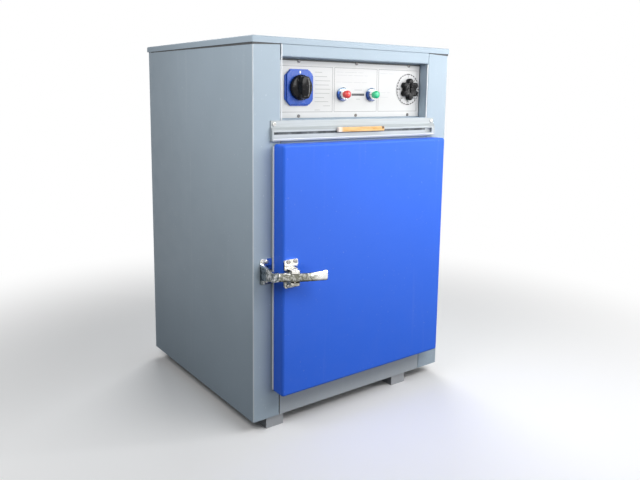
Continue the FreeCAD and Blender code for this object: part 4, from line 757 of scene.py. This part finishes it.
# Each row as for the switch's knob, with the share of the lobes.
knob_shares = [(0.0, 0.96, 0.96, 2.0, 1.0), (0.05, 1.0, 1.0, 2.0, 1.0), (0.62, 1.0, 1.0, 2.0, 1.0),
               (0.74, 0.985, 0.985, 2.0, 1.0), (0.82, 0.95, 0.95, 2.0, 1.0), (0.86, 0.88, 0.88, 2.0, 1.0),
               (0.875, 0.76, 0.76, 2.0, 0.9), (0.875, 0.58, 0.58, 2.0, 0.2), (0.845, 0.52, 0.52, 2.0, 0.0),
               (0.845, 0.16, 0.16, 2.0, 0.0)]
levels = np.array(knob_shares) * (depth, radius, radius, 1, 1)
rings = knob_skin((knob_x, knob_z), knob_high.y, levels, round_lobes)
lobe_black = moulding("lobe_black", (0.005, 0.005, 0.006), 0.26, 0.08, 0.16)
thermostat_grip = mesh_piece("thermostat_grip", rings, shell(rings), lobe_black, "thermostat_knob", 40)
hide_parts("thermostat_knob")
rib_height = depth * 0.155
bars = ribbons((knob_x, knob_z - radius * 0.30), (knob_x, knob_z + radius * 0.66), 0.0034, rib_height,
               knob_low.y + rib_height)
thermostat_rib = mesh_piece("thermostat_rib", *bars, lobe_black, "thermostat_knob")
bars = ribbons((knob_x, knob_z + radius * 0.16), (knob_x, knob_z + radius * 0.60), 0.0013, line_height,
               knob_low.y + line_height)
thermostat_line = mesh_piece("thermostat_line", *bars, mark_ink, "thermostat_knob")


# The rear: a small aluminium rating plate, printed with rows of plain bars and riveted to the rear
# panel beside the cable gland.
rear_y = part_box("rear_panel")[1].y
plate_metal = bare_metal("plate_metal", (0.60, 0.61, 0.60), 0.32, 0.2, "x", 0.6)
plate_left = 0.030
plate_right = 0.105
plate_z = 0.548
plate_tall = 0.044
plate_thick = 0.0008
bars = ribbons((plate_left, plate_z), (plate_right, plate_z), plate_tall, -plate_thick, rear_y)
rating_plate = mesh_piece("rating_plate", *bars, plate_metal, "cabinet")
row_right = plate_right - 0.010
top_row = plate_z + 0.0145
row_step = 0.0058
starts, stops = [], []
for row, length in enumerate((0.040, 0.055, 0.048, 0.055, 0.030, 0.044)):
    starts.append((row_right, top_row - row_step * row))
    stops.append((row_right - length, top_row - row_step * row))
bars = ribbons(starts, stops, 0.0016, -ink_height, rear_y + plate_thick)
plate_rows = mesh_piece("plate_rows", *bars, bar_ink, "cabinet")
rivet_radius = 0.0018
rivet_inset = 0.004
rivet_levels = [(rise, rivet_radius * share, rivet_radius * share, 2.0, 0.0)
                for rise, share in ((0.0, 1.0), (-0.0005, 1.0), (-0.0010, 0.6))]
rivets = []
for x in (plate_left + rivet_inset, plate_right - rivet_inset):
    for z in (plate_z - plate_tall / 2 + rivet_inset, plate_z + plate_tall / 2 - rivet_inset):
        rings = knob_skin((x, z), rear_y + plate_thick, rivet_levels, fine_flutes, 24)
        rivets.append((rings, shell(rings)))
plate_rivets = mesh_piece("plate_rivets", *joined(*rivets), screw_zinc, "cabinet", 40)


# The two lamps: domed lenses, one red and one green, moulded with fine rings and pressed into the
# bright collars of chromed bezels, with a painted reflection of the dark blue around them in a band.
bezel_low, bezel_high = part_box("lamp_housings")
bezel_chrome, tree, skin = shader("bezel_chrome")
where = object_place(tree)
# Painted reflection: behind the collar the bezel is tinted dark blue across the middle, paler blue above
# and greyish blue below, as the blue around it would be mirrored.
middle = (bezel_low.z + bezel_high.z) / 2
upper = ramp(one_axis(where, "z"), middle + 0.0040, middle + 0.0064)
lower = ramp(one_axis(where, "z"), middle - 0.0100, middle - 0.0082, 1.0, 0.0)
reflection_band = tint(lower, tint(upper, (0.035, 0.085, 0.30), (0.50, 0.62, 0.78)), (0.30, 0.33, 0.55))
in_front = ramp(one_axis(where, "y"), bezel_low.y + 0.0062, bezel_low.y + 0.0072, 1.0, 0.0)
join(tint(in_front, reflection_band, (0.86, 0.86, 0.85)), skin["Base Color"])
skin["Metallic"].default_value = 1.0
skin["Roughness"].default_value = 0.12
finish_in(bezel_chrome, "lamp_housings")


def lens_plastic(name, colour, deep):
    """Clear tinted plastic over a bright reflector: strong colour with a gloss coat."""
    made, tree, skin = shader(name)
    edge = tree.new("ShaderNodeLayerWeight")
    edge.inputs["Blend"].default_value = 0.35
    join(tint(edge.outputs["Facing"], colour, deep), skin["Base Color"])
    skin["Roughness"].default_value = 0.12
    skin["Coat Weight"].default_value = 0.6
    skin["Emission Color"].default_value = (*colour, 1)
    skin["Emission Strength"].default_value = 0.10
    return made


def lens_skin(centre, base_y, radius, collar, dome, ribs=5, around=64):
    """Rings of a lens: a straight collar and a quarter ellipse for the dome, whose radius carries a
    shallow cosine ripple for the moulded rings, closed at the tip."""
    straight = np.array([[0.0, 1.0], [collar * 0.94, 1.0], [collar, 0.985]])
    sweep = np.linspace(0.0, np.pi / 2 * 0.985, 40)
    ripple = 0.006 * np.cos(sweep * 4 * ribs)
    arc = np.stack([collar + dome * np.sin(sweep), 0.97 * np.cos(sweep) + ripple * np.cos(sweep)], axis=-1)
    profile = np.concatenate([straight, arc])
    angle = np.linspace(0, 2 * np.pi, around, endpoint=False)
    x = centre[0] + radius * profile[:, 1:] * np.cos(angle)
    z = centre[1] + radius * profile[:, 1:] * np.sin(angle)
    y = np.broadcast_to(base_y - profile[:, :1], x.shape)
    return np.stack([x, y, z], axis=-1)


for name, colour, deep in (("red_lamp_lens", (0.78, 0.045, 0.040), (0.30, 0.006, 0.006)),
                           ("green_lamp_lens", (0.02, 0.60, 0.27), (0.01, 0.22, 0.09))):
    low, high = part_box(name)
    radius = (high.x - low.x) / 2
    dome = radius * 0.75
    rings = lens_skin(((low.x + high.x) / 2, (low.z + high.z) / 2), high.y, radius,
                      high.y - low.y - dome, dome)
    plastic = lens_plastic(name.replace("lens", "plastic"), colour, deep)
    dome_piece = mesh_piece(name.replace("lens", "dome"), rings, shell(rings), plastic, "cabinet", 35)
    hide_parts(name)


# Fired clay parts inside, glazed off-white with fine flecks: the bushes that carry the heater
# elements through the wall, and the terminal block that stands in the wiring space.
fired_clay, tree, skin = shader("fired_clay")
fleck = ramp(noise(object_place(tree), 500.0, 3.0, 0.6), 0.5, 0.8)
join(tint(fleck, (0.82, 0.79, 0.70), (0.60, 0.55, 0.45)), skin["Base Color"])
skin["Roughness"].default_value = 0.35
finish_in(fired_clay, "heater_bushes", "terminal_block")


# The vent: a pressed aluminium track screwed under the panel, and the amber bar that is pushed
# sideways to open its holes. The bar is fixed to the shutter, which carries a painted shadow under the
# track's upper lip, in the slot.
track_metal = bare_metal("track_metal", (0.44, 0.475, 0.49), 0.36, 0.35, "x", 0.30)
finish_in(track_metal, "vent_track")
track_low, track_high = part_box("vent_track")
# Painted highlight: the bead along the track's lower lip is a paler copy of the track's metal.
lip_highlight_metal = bare_metal("lip_highlight_metal", (0.66, 0.68, 0.69), 0.30, 0.35, "x", 0.3)
bead_y = track_low.y + 0.0004
bead_z = track_low.z + 0.0026
bead = round_bead((track_low.x + 0.001, bead_y, bead_z), (track_high.x - 0.001, bead_y, bead_z), 0.0011)
track_bead = mesh_piece("track_bead", bead, shell(bead), lip_highlight_metal, "cabinet", 50)
slide_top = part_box("vent_shutter")[1].z
# Painted shadow: the shutter's top, under the track's upper lip, turns dark, a little unevenly.
lip_shaded_slide, tree, skin = shader("lip_shaded_slide")
where = object_place(tree)
lip_shade = arithmetic("MULTIPLY", ramp(one_axis(where, "z"), slide_top - 0.0062, slide_top - 0.0046),
                   ramp(noise(where, 60.0, 4.0, 0.6), 0.3, 0.7, 0.75, 1.0))
join(tint(lip_shade, (0.42, 0.45, 0.48), (0.03, 0.036, 0.04)), skin["Base Color"])
skin["Metallic"].default_value = 0.4
skin["Roughness"].default_value = 0.45
finish_in(lip_shaded_slide, "vent_shutter")
amber, tree, skin = shader("amber_bar")
where = object_place(tree)
swirl = noise(stretched(where, (30.0, 200.0, 260.0)), 1.0, 4.0, 0.6)
bar_low, bar_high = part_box("vent_pull")
honey = tint(ramp(swirl, 0.3, 0.7), (0.70, 0.37, 0.10), (0.84, 0.52, 0.20))
# A small dark round spot near the bar's right end, at its top.
spot_distance = tree.new("ShaderNodeVectorMath")
spot_distance.operation = "DISTANCE"
join(where, spot_distance.inputs[0])
spot_distance.inputs[1].default_value = (bar_high.x - 0.004, bar_low.y, bar_high.z - 0.0016)
dark_spot = ramp(spot_distance.outputs["Value"], 0.0016, 0.0040, 0.95, 0.0)
honey = tint(dark_spot, honey, (0.10, 0.05, 0.02))
# Painted highlight: the bar's left end turns pale, as its end catches the light.
end_highlight = ramp(one_axis(where, "x"), bar_low.x + 0.004, bar_low.x + 0.011, 0.85, 0.0)
join(tint(end_highlight, honey, (0.88, 0.80, 0.70)), skin["Base Color"])
join(ramp(swirl, 0.3, 0.8, 0.22, 0.42), skin["Roughness"])
skin["Coat Weight"].default_value = 0.4
finish_in(amber, "vent_pull")


# The door seal: a pale silicone cord with a half-round nose, run round the inner panel in one loop,
# and its thin lip, which shows along the door's latch edge. The lip is painted light: paler than the
# cord, where it lies in the door's shade.
def loop_skin(low, high, inset, corner, nose, half, front, back, around=24):
    """Rings of a bead that runs round a rounded rectangle.

    The path is the rectangle set in by the inset, with quarter circles at the corners. Across it the
    outline is a superellipse of power 3, half wide to each side and from front to back in depth, and
    the nose share narrows it towards the back.
    """
    x0, x1 = low.x + inset, high.x - inset
    z0, z1 = low.z + inset, high.z - inset
    quarter = np.linspace(0, np.pi / 2, 9)
    path, outward = [], []
    for cx, cz, start in ((x1 - corner, z1 - corner, 0.0), (x0 + corner, z1 - corner, np.pi / 2),
                          (x0 + corner, z0 + corner, np.pi), (x1 - corner, z0 + corner, 1.5 * np.pi)):
        way = np.stack([np.cos(start + quarter), np.sin(start + quarter)], axis=-1)
        path.append(np.array([cx, cz]) + corner * way)
        outward.append(way)
    path, outward = np.concatenate(path), np.concatenate(outward)
    angle = np.linspace(0, 2 * np.pi, around, endpoint=False)
    cosine, sine = np.cos(angle), np.sin(angle)
    depth = (front + back) / 2 + (back - front) / 2 * np.sign(sine) * np.abs(sine) ** (2 / 3)
    reach = half * np.sign(cosine) * np.abs(cosine) ** (2 / 3) * (1 - nose * np.maximum(sine, 0) ** 2)
    x = path[:, None, 0] + outward[:, None, 0] * reach
    z = path[:, None, 1] + outward[:, None, 1] * reach
    return np.stack([x, np.broadcast_to(depth, x.shape), z], axis=-1)


def ring_shell(rings):
    """Faces of a closed ring of rings, where the last joins the first and there are no caps."""
    count, around = rings.shape[:2]
    index = np.arange(count * around).reshape(count, around)
    beside = np.roll(index, -1, axis=1)
    after = np.roll(index, -1, axis=0)
    corner = np.roll(beside, -1, axis=0)
    quads = np.stack([index, beside, corner, after], axis=-1).reshape(-1, 4)
    return [tuple(quad) for quad in quads.tolist()]


seal_silicone = moulding("seal_silicone", (0.62, 0.61, 0.57), 0.55, 0.3)
seal_low, seal_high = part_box("door_gasket")
seal_half = 0.005
rings = loop_skin(seal_low, seal_high, seal_half, 0.012, 0.45, seal_half, seal_low.y, seal_high.y)
door_seal = mesh_piece("door_seal", rings, ring_shell(rings), seal_silicone, "door", 50)
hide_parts("door_gasket")
pan_low, pan_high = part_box("door_outer_pan")
# Painted light: the lip is whiter than the cord, to lift it out of the door's shade.
lit_lip_silicone = moulding("lit_lip_silicone", (0.90, 0.91, 0.92), 0.45, 0.1)
lip_x = pan_low.x - 0.0003
lip_y = pan_high.y + 0.0017
bead = round_bead((lip_x, lip_y, pan_low.z + 0.004), (lip_x, lip_y, pan_high.z - 0.004), 0.0016)
seal_lip = mesh_piece("seal_lip", bead, shell(bead), lit_lip_silicone, "door", 50)


# The latch: chromed brass castings, worn in dull patches, with dark blotches of painted reflection on
# the keeper's lower part, the base below the pin and the lever short of its tip. The lever turns on the
# latch's pin; its tongue hooks behind the keeper, and its handle bows away and flares at the tip.
pivot = next(Vector(joint["pos_m"]) for joint in frame["joints"] if joint["name"] == "latch_pivot")
keeper_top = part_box("latch_keeper")[1].z
keeper_chrome = chrome("keeper_chrome", (0.85, 0.86, 0.88), 0.10, 0.3, 0.92, (0.035, 0.055, 0.058),
                       ("z", keeper_top - 0.0125, keeper_top - 0.009))
finish_in(keeper_chrome, "latch_keeper")
base_chrome = chrome("base_chrome", (0.90, 0.88, 0.83), 0.12, 0.25, 0.70, (0.13, 0.13, 0.10),
                     ("z", pivot.z + 0.001, pivot.z + 0.005))
finish_in(base_chrome, "latch_base", "latch_pin")


def bar_skin(path, half_thick, half_high, square, around=48):
    """Rings of a bar along a curve in plan.

    The path's points are joined by straight steps; at each the outline is a superellipse that stands
    upright across the curve: half thick along the curve's left normal, half high along z.
    """
    step = np.gradient(path, axis=0)
    step /= np.linalg.norm(step, axis=1, keepdims=True)
    normal = np.stack([-step[:, 1], step[:, 0]], axis=-1)
    angle = np.linspace(0, 2 * np.pi, around, endpoint=False)
    cosine, sine = np.cos(angle), np.sin(angle)
    side = half_thick[:, None] * np.sign(cosine) * np.abs(cosine) ** (2 / square)
    rise = half_high[:, None] * np.sign(sine) * np.abs(sine) ** (2 / square)
    x = path[:, None, 0] + normal[:, None, 0] * side
    y = path[:, None, 1] + normal[:, None, 1] * side
    return np.stack([x, y, rise], axis=-1)


def smooth_between(knots, values, samples):
    """A curve through values at knots, eased with a cosine between neighbours."""
    values = np.array(values)
    place = np.clip(np.searchsorted(knots, samples, side="right") - 1, 0, len(knots) - 2)
    share = (samples - knots[place]) / (knots[place + 1] - knots[place])
    eased = (1 - np.cos(np.pi * np.clip(share, 0, 1))) / 2
    return values[place] * (1 - eased) + values[place + 1] * eased


lever_low, lever_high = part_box("latch_lever")
along = np.linspace(lever_low.x, lever_high.x, 70)
knots = np.array([lever_low.x, lever_low.x + 0.010, pivot.x, pivot.x + 0.015,
                  lever_high.x - 0.012, lever_high.x])
plan_y = np.interp(along, knots, [lever_high.y - 0.0022, lever_high.y - 0.0030, pivot.y, pivot.y - 0.0098,
                                  lever_low.y + 0.0031, lever_low.y + 0.0023])
for _ in range(3):
    plan_y[1:-1] = (plan_y[:-2] + 2 * plan_y[1:-1] + plan_y[2:]) / 4
thick = smooth_between(knots, [0.0016, 0.0021, 0.0052, 0.0030, 0.0021, 0.0014], along)
high = smooth_between(knots, [0.0056, 0.0069, 0.0069, 0.0067, 0.0074, 0.0085], along)
high[-3:] *= np.array([0.99, 0.95, 0.86])
rings = bar_skin(np.stack([along, plan_y], axis=-1), thick, high, 4.2)
rings[:, :, 2] += pivot.z
rings[:, :, 1] = np.clip(rings[:, :, 1], lever_low.y, lever_high.y)
# Painted reflection: dark blotches along the lever, left off its bright tip.
lever_chrome = chrome("lever_chrome", (0.92, 0.92, 0.90), 0.12, 0.3, 0.90, (0.12, 0.12, 0.075),
                      ("x", lever_high.x - 0.030, lever_high.x - 0.011))
lever_casting = mesh_piece("lever_casting", rings, shell(rings), lever_chrome, "latch_lever", 50)
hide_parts("latch_lever")
